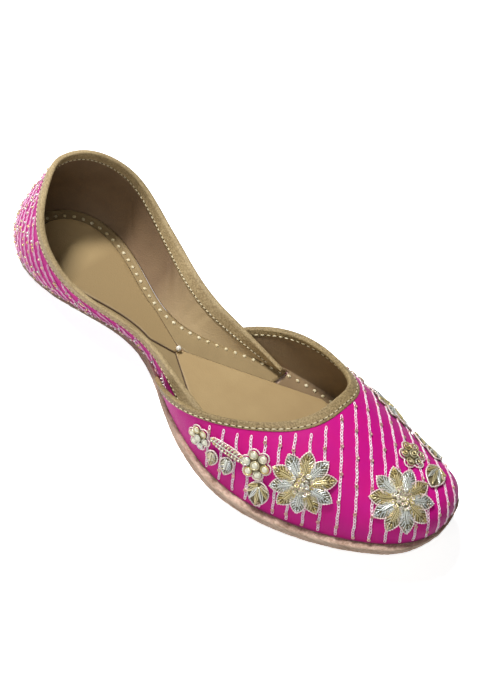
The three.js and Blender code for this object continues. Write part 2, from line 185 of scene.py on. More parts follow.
def lay_floor():
    sheet = bmesh.new()
    bmesh.ops.create_grid(sheet, x_segments=2, y_segments=2, size=FLOOR_SIZE)
    mesh = bpy.data.meshes.new("floor")
    sheet.to_mesh(mesh)
    sheet.free()
    floor = bpy.data.objects.new("floor", mesh)
    mesh.materials.append(white_paper())
    bpy.context.scene.collection.objects.link(floor)
    print("floor laid:", 2 * FLOOR_SIZE, "m wide")


lay_floor()

# %% [markdown]
# A shoe is drawn round a last. These are the last's sizes in millimetres, and the same short tables
# that the solids were made from, so that every cloth and thread lies on the form exactly.

# %% Sizes of the last
outsole_low, outsole_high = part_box("outsole")
SOLE_LEDGE = 1.5
SOLE_TUCK = 2.6
SOLE_SPREAD = 2.0
UPPER_LENGTH = (outsole_high.x - outsole_low.x) / MM - 2 * SOLE_LEDGE
BALL_WIDTH = 82.4
WAIST_WIDTH = 30.0
HEEL_WIDTH = 53.0
TOE_SWING = 14.4
TOE_SPRING = 18.4
ROLL_LENGTH = 88.5
SOLE_THICKNESS = 4.2
CLEARANCE = 0.3
WALL = 2.0
COLLAR_WIDTH = 67.8
COLLAR_LEAN = 7.75
BACK_HEIGHT = 50.0
QUARTER_LENGTH = 142.8
QUARTER_BULGE = 25.0
INSTEP_HEIGHT = 64.6
VAMP_LENGTH = 69.7
VAMP_REACH = 142.1
VAMP_FLARE = 0.75
BINDING_WIDTH = 6.2
BINDING_EXTRA = 0.3
FLANGE_THICKNESS = 1.0
FLANGE_WIDTH = 12.0
FLANGE_SHANK_EXTRA = 9.5
SOCK_THICKNESS = 0.9
SOCK_INSET = 8.3
KNOT_DISTANCE = 102.3
KNOT_SHIFT = -3.4
SOCK_POINT = 1.0
HEEL_SOCK_FLARE = 0.33
FORE_SOCK_FLARE = 0.6

HALF = UPPER_LENGTH / 2
SEAT = SOLE_THICKNESS + CLEARANCE
SOCK_SEAT = SEAT + FLANGE_THICKNESS + CLEARANCE
ROLL_START = HALF - ROLL_LENGTH
HEEL_CENTRE = -HALF + 0.55 * HEEL_WIDTH
TOE_CENTRE = HALF - 0.345 * BALL_WIDTH
THROAT_FRONT = HALF - VAMP_LENGTH
THROAT_TIP = HALF - VAMP_REACH
WING_END = QUARTER_LENGTH - HALF
KNOT_X = KNOT_DISTANCE - HALF
TUCK_DEPTH = WALL + BINDING_EXTRA + CLEARANCE + 0.2
print("upper length", round(UPPER_LENGTH, 1), "seat height", SEAT)


# %% [markdown]
# A last has no corners. A few widths and heights are read off it along its length, and a natural
# spline runs through them. Each table row is a place along the shoe and a share of a named size.


# %% Curves through tables
def curve_through(rows):
    """A natural cubic spline through (at, value) rows."""
    places = [row[0] for row in rows]
    values = [row[1] for row in rows]
    last = len(rows) - 1
    step = [places[i + 1] - places[i] for i in range(last)]
    slope = [(values[i + 1] - values[i]) / step[i] for i in range(last)]
    bend = [0.0] * (last + 1)
    pivot = [1.0] * (last + 1)
    for i in range(1, last):
        carry = step[i - 1] / pivot[i - 1] if i > 1 else 0.0
        pivot[i] = 2 * (step[i - 1] + step[i]) - carry * step[i - 1]
        bend[i] = 6 * (slope[i] - slope[i - 1]) - carry * bend[i - 1]
    for i in range(last - 1, 0, -1):
        bend[i] = (bend[i] - step[i] * bend[i + 1]) / pivot[i]

    def value_at(at):
        i = 0
        while i < last - 1 and at > places[i + 1]:
            i += 1
        t = at - places[i]
        start = slope[i] - step[i] * (2 * bend[i] + bend[i + 1]) / 6
        return values[i] + t * (start + t * (bend[i] / 2 + t * (bend[i + 1] - bend[i]) / (6 * step[i])))

    return value_at


half_width_at = curve_through([(at, share * of) for at, of, share in (
    (0.0, HEEL_WIDTH, 0), (0.1, HEEL_WIDTH, 0.32), (0.2, HEEL_WIDTH, 0.5), (0.3, HEEL_WIDTH, 0.438),
    (0.4, WAIST_WIDTH, 0.5), (0.45, BALL_WIDTH, 0.24), (0.5, BALL_WIDTH, 0.356), (0.6, BALL_WIDTH, 0.5),
    (0.7, BALL_WIDTH, 0.464), (0.8, BALL_WIDTH, 0.366), (0.9, BALL_WIDTH, 0.236), (1.0, BALL_WIDTH, 0))])
skew_at = curve_through([(at, share * BALL_WIDTH) for at, share in (
    (0, 0), (0.1, 0.014), (0.2, 0.018), (0.3, 0.01), (0.5, -0.03), (0.6, -0.029), (0.7, -0.02), (0.8, 0.006),
    (0.9, 0.03), (1, 0))])
collar_height_at = curve_through([(at, share * BACK_HEIGHT) for at, share in (
    (-0.2, 0.784), (-0.1, 1.0), (0, 0.992), (0.1, 1.0), (0.2, 0.784), (0.3, 0.501), (0.4, 0.389),
    (0.5, 0.226), (0.6, 0.022))])
collar_half_width_at = curve_through([(at, share * COLLAR_WIDTH) for at, share in (
    (0, 0), (0.1, 0.212), (0.2, 0.469), (0.3, 0.5), (0.4, 0.418), (0.5, 0.45), (0.6, 0.46))])
ridge_at = curve_through([(at * HALF, share * INSTEP_HEIGHT) for at, share in (
    (-0.324, 1.0), (0.243, 0.739), (0.486, 0.644), (0.688, 0.493), (0.874, 0.299), (1.053, 0.206))])
print("half width at the ball:", round(half_width_at(0.6), 1), "mm")

# %% [markdown]
# Every surface of the shoe is a formula: it takes a place s along the edge from heel (0) to toe (1), a
# side, a height or an angle, and a depth under the silk. Cloth, lining and stitches all call the
# same formulas, so nothing drifts apart when a size changes.


# %% Points on the last
def clamp(value, low, high):
    return max(low, min(high, value))


def smooth(value, low, high):
    t = clamp((value - low) / (high - low), 0, 1)
    return t * t * (3 - 2 * t)


def place_of(x):
    return math.acos(clamp(-x / HALF, -1, 1)) / math.pi


def x_of(s):
    return -HALF * math.cos(math.pi * s)


def spring_at(x):
    return TOE_SPRING * (max(0, x - ROLL_START) / ROLL_LENGTH) ** 2


def swing_at(x):
    return TOE_SWING * ((x + HALF) / UPPER_LENGTH) ** 2


KNOT_Y = swing_at(KNOT_X) + KNOT_SHIFT


def spine_x(x):
    """The edge's points lean towards this line: a straight one with a soft stop at heel and toe."""
    soft = 0.032 * UPPER_LENGTH
    low = HEEL_CENTRE + soft * math.log1p(math.exp((x - HEEL_CENTRE) / soft))
    return TOE_CENTRE - soft * math.log1p(math.exp((TOE_CENTRE - low) / soft))


def edge_at(s, side):
    """The last's edge at s: x, y, the level way in to the spine, and how far that is."""
    x = x_of(s)
    y = side * half_width_at(s) + skew_at(s)
    reach = math.hypot(spine_x(x) - x, y) + 1e-9
    return x, y, (spine_x(x) - x) / reach, -y / reach, reach


def vamp_point(s, side, angle, depth=0.0):
    """A point of the vamp: angle runs from 0 at the sole's edge to a right angle at the ridge."""
    if s > 1:
        return vamp_point(2 - s, -side, angle, depth)
    if angle > math.pi / 2:
        return vamp_point(s, -side, math.pi - angle, depth)
    x, y, in_x, in_y, reach = edge_at(s, side)
    z = (ridge_at(spine_x(x)) - depth) * math.sin(max(angle, 0)) ** 0.91
    lean = VAMP_FLARE * clamp((0.364 * HALF - x) / (0.526 * HALF), 0, 1.5) ** 1.5
    inward = depth + (reach - depth) * (1 - math.cos(angle)) - lean * z * math.cos(angle)
    px = x + in_x * inward
    share = math.sin(angle) ** 2
    lift = spring_at(px) if angle < 0.001 else spring_at(x) * (1 - share) + spring_at(spine_x(x)) * share
    return Vector((px, y + in_y * inward + swing_at(x), SEAT + z + lift))


def throat_angle(x, tip, front):
    t = clamp((x - tip) / (front - tip), 0, 1)
    return math.acos((1 - t ** 1.65) ** (1 / 3))


def tuck_at(s):
    return TUCK_DEPTH * smooth(x_of(s), THROAT_TIP - 0.4 * HALF, THROAT_TIP)


def quarter_point(s, side, v, depth=0.0):
    """A point of the quarter: v runs from 0 at the sole to 1 at the topline."""
    x, y, in_x, in_y, reach = edge_at(s, side)
    height = collar_height_at(s)
    bulge = QUARTER_BULGE * v * (1 - v) ** 2 * clamp((height - 3.5) / BACK_HEIGHT, 0, 1)
    inward = depth + tuck_at(s) * (1 + 0.7 * v) - bulge
    top_x = -(HALF - COLLAR_LEAN) * math.cos(math.pi * s)
    top_y = side * collar_half_width_at(s)
    return Vector((x + (top_x - x) * v + in_x * inward,
                   y + (top_y - y) * v + in_y * inward + swing_at(x),
                   SEAT + height * v + spring_at(x)))


def flange_depth(s):
    """How far in the turned lining reaches: further at the shank, where the shoe is narrow."""
    from_shank = (x_of(s) - 0.1 * HALF) / (0.21 * HALF)
    return FLANGE_WIDTH + FLANGE_SHANK_EXTRA * math.exp(-from_shank * from_shank)


def quarter_share(s, dropped):
    """The share of the wall's height that lies a given way under the topline."""
    height = collar_height_at(s)
    return clamp(1 - dropped / height, 1.2 * FLANGE_THICKNESS / height, 1)


# %% [markdown]
# Every sheet here starts as a flat grid, made by one operator, which is then bent over the last. The
# grid keeps a flat map in millimetres, so that weave and grain run along the cloth.

# %% Bending a grid
def piece(name, bm, material):
    bmesh.ops.recalc_face_normals(bm, faces=bm.faces)
    mesh = bpy.data.meshes.new(name)
    bm.to_mesh(mesh)
    bm.free()
    mesh.shade_smooth()
    made = bpy.data.objects.new(name, mesh)
    mesh.materials.append(material)
    bpy.context.scene.collection.objects.link(made)
    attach(made, "root")
    return made


def bent_grid(columns, rows, place, flat=(1.0, 1.0)):
    """A grid of unit size whose point (u, v) goes to place(u, v), in millimetres."""
    bm = bmesh.new()
    bmesh.ops.create_grid(bm, x_segments=columns, y_segments=rows, size=0.5)
    layer = bm.loops.layers.uv.new("flat")
    for face in bm.faces:
        for loop in face.loops:
            loop[layer].uv = ((loop.vert.co.x + 0.5) * flat[0] * MM, (loop.vert.co.y + 0.5) * flat[1] * MM)
    for vert in bm.verts:
        vert.co = place(clamp(vert.co.x + 0.5, 0, 1), clamp(vert.co.y + 0.5, 0, 1)) * MM
    bmesh.ops.remove_doubles(bm, verts=bm.verts, dist=0.00001)
    bmesh.ops.dissolve_degenerate(bm, edges=bm.edges, dist=0.000001)
    return bm


def round_shoe(u, low, high):
    """Place and side at u along a walk: up one side from place low to high, and back down the other."""
    t = 2 * u
    return (low + (high - low) * t, -1) if t <= 1 else (low + (high - low) * (2 - t), 1)


# %% [markdown]
# Leather, silk and metal thread each get one finish. The patterns are set by real sizes: leather pores
# are about half a millimetre apart and silk threads a third of one. Colours vary a little, as real ones do.

# %% Leather finishes
CLOUD = 14.0


def leather(name, light, dark, rough=0.5, pore=0.6, depth=0.15, layers=1.0, flecks=0.0, painted_shading_tone=None,
            fade=(-56, -25)):
    """Vegetable tanned leather: cloudy colour, fine pores, a satin face. pore and depth are in mm.
    layers flattens the pattern, as on a cut edge, and flecks ties the colour to the fine grain.
    Its painted light and shade colour is taken on between two places along the shoe, fade, in mm."""
    paint, tree, shader = finish_named(name, Roughness=rough)
    shader.inputs["Specular IOR Level"].default_value = 0.35
    where = node(tree, "ShaderNodeTexCoord").outputs["Object"]
    where = node(tree, "ShaderNodeMapping", {"Vector": where, "Scale": (1.0, 1.0, layers)}).outputs["Vector"]
    cloud = node(tree, "ShaderNodeTexNoise", {"Vector": where, "Scale": 1 / (CLOUD * MM), "Detail": 6.0})
    pores = node(tree, "ShaderNodeTexVoronoi", {"Vector": where, "Scale": 1 / (pore * MM)})
    grain = node(tree, "ShaderNodeTexNoise", {"Vector": where, "Scale": 1 / (2.2 * pore * MM), "Detail": 3.0})
    fleck = node(tree, "ShaderNodeMath", {0: grain.outputs["Fac"], 1: flecks, 2: -0.5 * flecks},
                 operation="MULTIPLY_ADD")
    share = node(tree, "ShaderNodeMath", {0: cloud.outputs["Fac"], 1: fleck.outputs[0]}, operation="ADD")
    tint = node(tree, "ShaderNodeMix", {"Factor": share.outputs[0]}, data_type="RGBA")
    tint.inputs["A"].default_value = linear(dark)
    tint.inputs["B"].default_value = linear(light)
    colour = tint.outputs["Result"]
    # Painted light and shade: a second colour taken on along the shoe's length.
    if painted_shading_tone:
        along = node(tree, "ShaderNodeSeparateXYZ", {"Vector": where}).outputs["X"]
        share = node(tree, "ShaderNodeMapRange", {
            "Value": along, "From Min": fade[0] * MM, "From Max": fade[1] * MM})
        painted_shading_mix = node(tree, "ShaderNodeMix", {"Factor": share.outputs["Result"], "A": colour}, data_type="RGBA")
        painted_shading_mix.inputs["B"].default_value = linear(painted_shading_tone)
        colour = painted_shading_mix.outputs["Result"]
    tree.links.new(colour, shader.inputs["Base Color"])
    relief = node(tree, "ShaderNodeMath", {0: pores.outputs["Distance"], 1: grain.outputs["Fac"]},
                  operation="ADD")
    bump = node(tree, "ShaderNodeBump", {
        "Height": relief.outputs[0], "Strength": 0.5, "Distance": depth * MM})
    tree.links.new(bump.outputs["Normal"], shader.inputs["Normal"])
    return paint


# Smooth glazed leather: an even tan with a soft shine.
sock_leather = leather("smooth tan sock leather", "b59c70", "a2885f", pore=0.7, depth=0.1)
# The same leather with painted light and shade: paler at the heel end, against the key lamp's shadow there,
# and darker from there on.
heel_sock_painted_shading_leather = leather("smooth tan sock leather, pressed darker by the heel", "cab285", "bb9f6e",
                            pore=0.7, depth=0.1, painted_shading_tone="967f58", fade=(-100, -82))
# Thin lining leather, unpolished: dull, darker at the heel as painted shade, and paler towards the shank as
# painted light.
lining_painted_shading_leather = leather("tan lining leather, darker at the heel", "8e765a", "745c46", rough=0.6,
                         painted_shading_tone="b8a078")
# Lining out of the light: the same dull face without the paler end.
vamp_lining_leather = leather("tan lining leather of the vamp", "937c5b", "776046", rough=0.6)
# Supple binding leather, shrunk a little: a golden grain of fine light and dark flecks.
binding_leather = leather("golden beige binding leather", "c6b084", "927c58", pore=0.36, depth=0.3,
                          flecks=2.0)
# The same binding leather, painted darker as shade on the vamp, with stronger flecks.
vamp_binding_shaded_leather = leather("golden beige binding leather, painted darker shade", "ae986c", "6c5a3c", pore=0.36,
                               depth=0.3, flecks=2.4)
# Thick sole leather, cut and left raw: rough, with fibres in flat layers.
sole_leather = leather("natural sole leather, raw edge", "e6ccb6", "86664f", rough=0.85, pore=0.8, depth=0.8,
                       layers=9.0, flecks=1.2)
# Lining pressed flat under the sock: smoother and evenly coloured.
flange_leather = leather("tan lining leather, smoothed by the sock", "a08a62", "84704e", rough=0.55)
# Leather board: dull and coarse, hidden under the sock.
board = leather("insole board", "a08060", "8a6b4c", rough=0.9, pore=1.0, depth=0.3)
print("leather finishes made")

# %% [markdown]
# The silk is shot: its warp and weft have different dyes, so it turns from magenta to violet as it
# bends away from the eye. A fine weave runs along the cloth's own flat map.


# %% Silk and thread finishes
SILK_THREAD = 0.3
WAVE_SHARE = 0.314    # a wave texture of scale 1 repeats after this length


def shot_silk():
    """Plain woven silk, warp and weft of two pinks: a low sheen, and a bluer pink seen from the side."""
    paint, tree, shader = finish_named("shot magenta silk", Roughness=0.55)
    shader.inputs["Specular IOR Level"].default_value = 0.2
    shader.inputs["Sheen Weight"].default_value = 0.1
    shader.inputs["Sheen Roughness"].default_value = 0.4
    where = node(tree, "ShaderNodeTexCoord").outputs["Object"]
    flat = node(tree, "ShaderNodeUVMap", uv_map="flat").outputs["UV"]
    cloud = node(tree, "ShaderNodeTexNoise", {"Vector": where, "Scale": 1 / (11 * MM), "Detail": 5.0})
    facing = node(tree, "ShaderNodeLayerWeight", {"Blend": 0.35})
    mixed = node(tree, "ShaderNodeMix", {"Factor": cloud.outputs["Fac"]}, data_type="RGBA")
    mixed.inputs["A"].default_value = linear("c00c8a")
    mixed.inputs["B"].default_value = linear("d00c78")
    turned = node(tree, "ShaderNodeMix", {"Factor": facing.outputs["Facing"], "A": mixed.outputs["Result"]},
                  data_type="RGBA")
    turned.inputs["B"].default_value = linear("bc148c")
    tree.links.new(turned.outputs["Result"], shader.inputs["Base Color"])
    threads = {"Vector": flat, "Scale": WAVE_SHARE / (SILK_THREAD * MM)}
    warp = node(tree, "ShaderNodeTexWave", threads, bands_direction="X")
    weft = node(tree, "ShaderNodeTexWave", threads, bands_direction="Y")
    weave = node(tree, "ShaderNodeMath", {0: warp.outputs["Fac"], 1: weft.outputs["Fac"]}, operation="ADD")
    bump = node(tree, "ShaderNodeBump", {"Height": weave.outputs[0], "Strength": 0.3, "Distance": 0.05 * MM})
    tree.links.new(bump.outputs["Normal"], shader.inputs["Normal"])
    return paint


def toned(name, first, second, **plain):
    """A thread or stone whose colour follows each strand's own tone."""
    paint, tree, shader = finish_named(name, **plain)
    tone = node(tree, "ShaderNodeAttribute", attribute_name="tone")
    tint = node(tree, "ShaderNodeMix", {"Factor": tone.outputs["Fac"]}, data_type="RGBA")
    tint.inputs["A"].default_value = linear(first)
    tint.inputs["B"].default_value = linear(second)
    tree.links.new(tint.outputs["Result"], shader.inputs["Base Color"])
    return paint


silk = shot_silk()
# Drawn and coiled wire, silver or gilt: small bright glints with dark gaps.
coil_wire = toned("coiled silver and pale gold wire", "e4eae8", "dcc884", Metallic=0.5, Roughness=0.25)
# Card and felt under the wire: dull, and painted dark as the shade in the gaps between the coils.
felt_pad_painted_dark = toned("card and felt padding, painted dark as gap shade", "6e6a54", "74603a", Roughness=0.9)
# Twisted rayon threads: a soft shine, from white to rose.
rose_thread = toned("rose chain thread", "f8cfe6", "e094c4", Roughness=0.35)
chain_thread = toned("silvery pink chain thread", "ffffff", "ffd2e6", Roughness=0.3)
# Silver thread twisted over pink: a pale shine with a rosy tint.
outline_cord = toned("rose silver outline cord", "fdf0ec", "ecd0ca", Metallic=0.1, Roughness=0.3)
# Thin copper rings, washed with silver: rosy metal.
copper_ring = toned("small rose copper rings", "dcae9c", "eccfbd", Metallic=0.7, Roughness=0.3)
# Polished resin stones with a foil under them: cream, with one sharp glint each.
cut_stone = toned("round cream stones", "dfe2cf", "efe9cf", Metallic=0.25, Roughness=0.12)
# A cut edge rubbed with wax and heat: dark brown, nearly matt, and also a painted shadow line.
burnished_edge_and_painted_shadow = toned("burnished cut edge of leather and painted shadow line", "4a3724", "5b4630", Roughness=0.6)
# The shade inside a pricked hole: almost black.
needle_hole = toned("needle holes", "2e2416", "3a2d1c", Roughness=0.9)
# Waxed cotton thread: cream to straw, hardly shiny.
cream_thread = toned("cream stitching thread", "e8dfc2", "c9b684", Roughness=0.6)
# Loose cotton yarn: off white and matt.
knot_cotton = toned("off white cotton", "f4f0e6", "e8e2d4", Roughness=0.8)
print("silk and thread finishes made")

# %% [markdown]
# Everything sewn on is many copies of a few small shapes: a coil of wire, a link of chain stitch, a
# stitch, a ring and a stone. Copies are gathered in heaps, and each heap becomes one joined mesh.


# %% Heaps of small shapes
class Heap:
    """Many small closed shapes, each with a tone from 0 to 1, that become one mesh."""

    def __init__(self):
        self.points, self.faces, self.tones = [], [], []

    def add(self, points, faces, tone):
        base = len(self.points)
        self.points += points
        self.faces += [[base + k for k in face] for face in faces]
        self.tones += [tone] * len(points)

    def made(self, name, material, slot, *nodes):
        mesh = bpy.data.meshes.new(name)
        mesh.from_pydata([p * MM for p in self.points], [], self.faces)
        mesh.attributes.new("tone", "FLOAT", "POINT").data.foreach_set("value", self.tones)
        mesh.shade_smooth()
        mesh.materials.append(material)
        obj = bpy.data.objects.new(name, mesh)
        bpy.context.scene.collection.objects.link(obj)
        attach(obj, "root")
        if nodes:
            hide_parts(*nodes)
        print(name, "triangles", sum(len(face) - 2 for face in self.faces))
        return obj


def template(build, **settings):
    """Points and faces of one small closed shape made by a bmesh operator."""
    bm = bmesh.new()
    build(bm, **settings)
    bmesh.ops.recalc_face_normals(bm, faces=bm.faces)
    bm.verts.ensure_lookup_table()
    points = [vert.co.copy() for vert in bm.verts]
    faces = [[vert.index for vert in face.verts] for face in bm.faces]
    bm.free()
    return points, faces


BALL = template(bmesh.ops.create_uvsphere, u_segments=8, v_segments=5, radius=1.0)
SMOOTH_BALL = template(bmesh.ops.create_uvsphere, u_segments=12, v_segments=8, radius=1.0)


def set_down(heap, shape, place, along, out, scale, tone):
    """Adds a copy of a shape, its x along and its z out."""
    across = out.cross(along).normalized()
    along = across.cross(out)
    heap.add([place + along * (p.x * scale[0]) + across * (p.y * scale[1]) + out * (p.z * scale[2])
              for p in shape[0]], shape[1], tone)


def tube(heap, path, radii, sides, tone, closed=False, start_out=None):
    """A round tube along a path. Open tubes end in a point."""
    count = len(path)
    points, faces = [], []
    normal = start_out or Vector((0, 0, 1))
    for i, spot in enumerate(path):
        ahead = path[(i + 1) % count] if closed or i + 1 < count else spot
        behind = path[i - 1] if closed or i else spot
        way = (ahead - behind).normalized()
        normal = (normal - way * normal.dot(way)).normalized()
        other = way.cross(normal)
        for k in range(sides):
            turn = 2 * math.pi * k / sides
            points.append(spot + (normal * math.cos(turn) + other * math.sin(turn)) * radii[i])
    for i in range(count if closed else count - 1):
        for k in range(sides):
            a, b = i * sides + k, i * sides + (k + 1) % sides
            c, d = (b + sides) % (count * sides), (a + sides) % (count * sides)
            faces.append([a, b, c, d])
    if not closed:
        points += [path[0], path[-1]]
        first, last = len(points) - 2, len(points) - 1
        for k in range(sides):
            faces.append([first, (k + 1) % sides, k])
            faces.append([last, (count - 1) * sides + k, (count - 1) * sides + (k + 1) % sides])
    heap.add(points, faces, tone)


def evenly(path, step, closed=False):
    """Points every step along a path, ends kept."""
    corners = path + [path[0]] if closed else path
    lengths = [0.0]
    for a, b in zip(corners, corners[1:]):
        lengths.append(lengths[-1] + (b - a).length)
    count = max(2, round(lengths[-1] / step))
    spots, i = [], 0
    for n in range(count if closed else count + 1):
        at = lengths[-1] * n / count
        while i < len(lengths) - 2 and lengths[i + 1] < at:
            i += 1
        gap = lengths[i + 1] - lengths[i]
        spots.append(corners[i].lerp(corners[i + 1], (at - lengths[i]) / gap if gap else 0))
    return spots


def coil(heap, path, radius, pitch, tone, closed=False, out=None, sides=6, neck=0.5):
    """A strand of coiled wire: a tube whose width rises and falls once in each turn of the wire."""
    spots = evenly(path, pitch / 2, closed)
    if closed and len(spots) % 2:
        spots = evenly(path, pitch / 2 * len(spots) / (len(spots) + 1), closed)
    radii = [radius * (1 if n % 2 else neck) for n in range(len(spots))]
    tube(heap, spots, radii, sides, tone, closed, out)


def lottery(seed):
    """A number from 0 to 1 that looks random but is always the same."""
    return (math.sin(seed * 12.9898 + 4.1) * 43758.5453) % 1.0


def jitter(seed):
    """The same from -0.5 to 0.5."""
    return lottery(seed) - 0.5


print("a ball has", len(BALL[1]), "faces, a smooth one", len(SMOOTH_BALL[1]))


# %% [markdown]
# The outsole is a slab of thick leather, cut by hand, so its edge wanders and shows where two layers
# were pasted. The socks are thinner sheets of the same kind, laid in from above.


# %% Slabs of leather
FACE_SHARE = 0.4
EDGE_SHARE = 0.1
SOLE_BULGE = 0.7
SPINE_GAP = 0.8


def level_normal(s, side):
    """The way out from the last's edge, in the plane of the sole."""
    back = edge_at(s - 0.004, side)
    ahead = edge_at(s + 0.004, side)
    long, wide = ahead[0] - back[0], ahead[1] - back[1]
    size = math.hypot(long, wide)
    return -side * wide / size, side * long / size


def slab(rim, start, end, low, high, bulge, columns, rows, rough=0.0):
    """A closed slab: rim gives the level rim point of each side, with the way out from it.
    Round the slab, each face takes FACE_SHARE of the columns and each edge takes EDGE_SHARE."""
    def place(u, v):
        s = start + (end - start) * u
        outer, inner = rim(s, -1), rim(s, 1)
        if v < 0.5:
            near, far, side = inner, outer, outer
            turn, across = (v - FACE_SHARE) / EDGE_SHARE, v / FACE_SHARE
        else:
            near, far, side = outer, inner, inner
            turn, across = (1 - v) / EDGE_SHARE, (v - 0.5) / FACE_SHARE
        turn, across = clamp(turn, 0, 1), clamp(across, 0, 1)
        x, y = (near[i] + (far[i] - near[i]) * across for i in (0, 1))
        up = math.cos(math.pi * turn)
        out = bulge * math.sin(math.pi * turn) ** 0.6 if 0 < turn < 1 else 0.0
        if rough and 0 < turn < 1:
            spot = Vector((x, y, 6 * up))
            fibre, cut = noise.noise(spot * 0.9), noise.noise(spot * 0.25)
            out += rough * (fibre + 0.7 * cut)
            seam_between_layers = max(0, 1 - abs(up - 0.1) / 0.3)
            out -= 1.2 * rough * seam_between_layers
        x += side[2] * out
        y += side[3] * out
        return Vector((x, y, low + (high - low) * (up + 1) / 2 + spring_at(x)))

    bm = bent_grid(columns, rows, place)
    loose = [edge for edge in bm.edges if len(edge.link_faces) == 1]
    if loose:
        bmesh.ops.holes_fill(bm, edges=loose)
    return bm


def sole_rim(s, side):
    """The sole's edge draws in under the heel and shank, and spreads a little under the ball."""
    x, y = edge_at(s, side)[:2]
    nx, ny = level_normal(s, side)
    ledge = SOLE_LEDGE - SOLE_TUCK * smooth(s, 0.04, 0.15) * (1 - smooth(s, 0.4, 0.54)) - SOLE_BULGE
    ledge += SOLE_SPREAD * smooth(s, 0.48, 0.62) * (1 - smooth(s, 0.86, 0.97))
    return x + nx * ledge, y + ny * ledge + swing_at(x), nx, ny


def inset_point(s, side, depth):
    x, y, in_x, in_y, reach = edge_at(s, side)
    inward = min(depth, reach - SPINE_GAP)
    return x + in_x * inward, y + in_y * inward + swing_at(x), -in_x, -in_y


def sock_rim(flare):
    """A sock's rim: inside the last's edge, and inside two straight cuts that meet near the knot."""
    def rim(s, side):
        x, y, nx, ny = inset_point(s, side, SOCK_INSET)
        straight = KNOT_Y + side * (SOCK_POINT + flare * abs(x - KNOT_X))
        return x, side * min(side * y, side * straight), nx, ny
    return rim


# %% [markdown]
# The sole comes first. Its edge is raw: a groove marks where its layers were pasted, and noise along
# the fibres roughens it. A plain bevel would look machined.

# %% Outsole
outsole_slab = slab(sole_rim, 0, 1, 0, SOLE_THICKNESS, SOLE_BULGE, 260, 60, rough=0.22)
outsole = piece("sole_slab", outsole_slab, sole_leather)
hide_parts("outsole")
print("outsole faces", len(outsole.data.polygons))

# %% [markdown]
# The sock is the leather under the foot. Here it is two thin sheets that taper to points and meet at
# a knot. Each is a slab like the sole, cut by its own outline. Under them lies the insole board.

# %% Socks and insole
SOCK_BULGE = 0.25
SOCK_TOP = SOCK_SEAT + SOCK_THICKNESS
HEEL_SOCK_ENDS = (0.02, place_of(KNOT_X - CLEARANCE))
FORE_SOCK_ENDS = (place_of(KNOT_X + CLEARANCE), 0.985)


def sock(name, flare, ends, columns, leather_used):
    sheet = slab(sock_rim(flare), *ends, SOCK_SEAT, SOCK_TOP, SOCK_BULGE, columns, 50)
    made = piece(name, sheet, leather_used)
    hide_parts(name)
    print(name, "from place", round(ends[0], 3), "to", round(ends[1], 3))


def insole_rim(s, side):
    return inset_point(s, side, flange_depth(s) + 3 * CLEARANCE)


sock("heel_sock", HEEL_SOCK_FLARE, HEEL_SOCK_ENDS, 90, heel_sock_painted_shading_leather)
sock("forepart_sock", FORE_SOCK_FLARE, FORE_SOCK_ENDS, 110, sock_leather)
insole_slab = slab(insole_rim, 0.03, 0.97, SEAT, SEAT + FLANGE_THICKNESS, 0.2, 80, 50)
insole = piece("insole_board", insole_slab, board)
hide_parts("insole")

# %% [markdown]
# A cut edge of leather is rubbed with wax until it is dark and round. It draws a thin dark line round each
# sock, partly that edge and partly painted shadow. A thin tube just under the rim gives that line from every
# side.

# %% Burnished edges of the socks, with painted shadow lines
LINE_RADIUS = 0.42
LINE_OUT = 0.25
LINE_UP = 0.3
LINE_POINTS = 70


def burnished_and_shadow_line(name, flare, ends):
    rim = sock_rim(flare)
    path = []
    for side, (start, end) in ((-1, ends), (1, ends[::-1])):
        for k in range(LINE_POINTS):
            x, y, nx, ny = rim(start + (end - start) * k / (LINE_POINTS - 1), side)
            path.append(Vector((x + nx * LINE_OUT, y + ny * LINE_OUT, SOCK_SEAT + LINE_UP + spring_at(x))))
    edge = Heap()
    # The tube is the burnished edge and a painted shadow line along the sock's foot.
    tube(edge, path, [LINE_RADIUS] * len(path), 6, 0.5, closed=True, start_out=Vector((0, 0, 1)))
    edge.made(name, burnished_edge_and_painted_shadow, "sock_leather")


burnished_and_shadow_line("heel_sock_edge", HEEL_SOCK_FLARE, HEEL_SOCK_ENDS)
burnished_and_shadow_line("forepart_sock_edge", FORE_SOCK_FLARE, FORE_SOCK_ENDS)

# %% [markdown]
# Each wall is silk outside and leather inside. The silk is stretched over the last and caught under
# the sole. The lining is turned in at the bottom as a flange, which the sock then covers.


# %% Quarter: silk cover
WING_PLACE = place_of(WING_END)
QUARTER_FLAT = (240.0, 45.0)
UNDER_BINDING = 0.5


def quarter_face(u, v):
    s, side = round_shoe(u, WING_PLACE, 0)
    top = quarter_share(s, BINDING_WIDTH - UNDER_BINDING)
    return quarter_point(s, side, v * top)


def sheet_piece(name, bm, flip, thickness, material, slot, *nodes):
    if flip:
        bmesh.ops.reverse_faces(bm, faces=bm.faces)
    bmesh.ops.solidify(bm, geom=bm.faces, thickness=thickness * MM)
    made = piece(name, bm, material)
    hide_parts(*nodes)
    print(name, "faces", len(made.data.polygons))


sheet_piece("quarter_silk", bent_grid(260, 26, quarter_face, QUARTER_FLAT), True, 0.7, silk,
            "magenta_silk", "quarter")

# %% [markdown]
# The lining follows the same formula 2 mm further in, and its flange lies on the sole. Worn leather
# buckles where the wing bends, so each crease is placed one by one: a soft trough with a ridge beside it.


# %% Quarter: leather lining with its flange
FLANGE_RAISE = 0.12
KNOT_PULL = 12
KNOT_PULL_REACH = 30
RIDGE_SHARE = 0.5
RIDGE_AWAY = 2.3


def flange_reach(s):
    """The flange goes further in near the knot, where the two sides meet under the socks."""
    wide = edge_at(s, 1)[4]
    meet = math.exp(-((x_of(s) - KNOT_X) / KNOT_PULL_REACH) ** 2)
    deep = flange_depth(s) + KNOT_PULL * meet
    return min(deep, wide - 0.1)


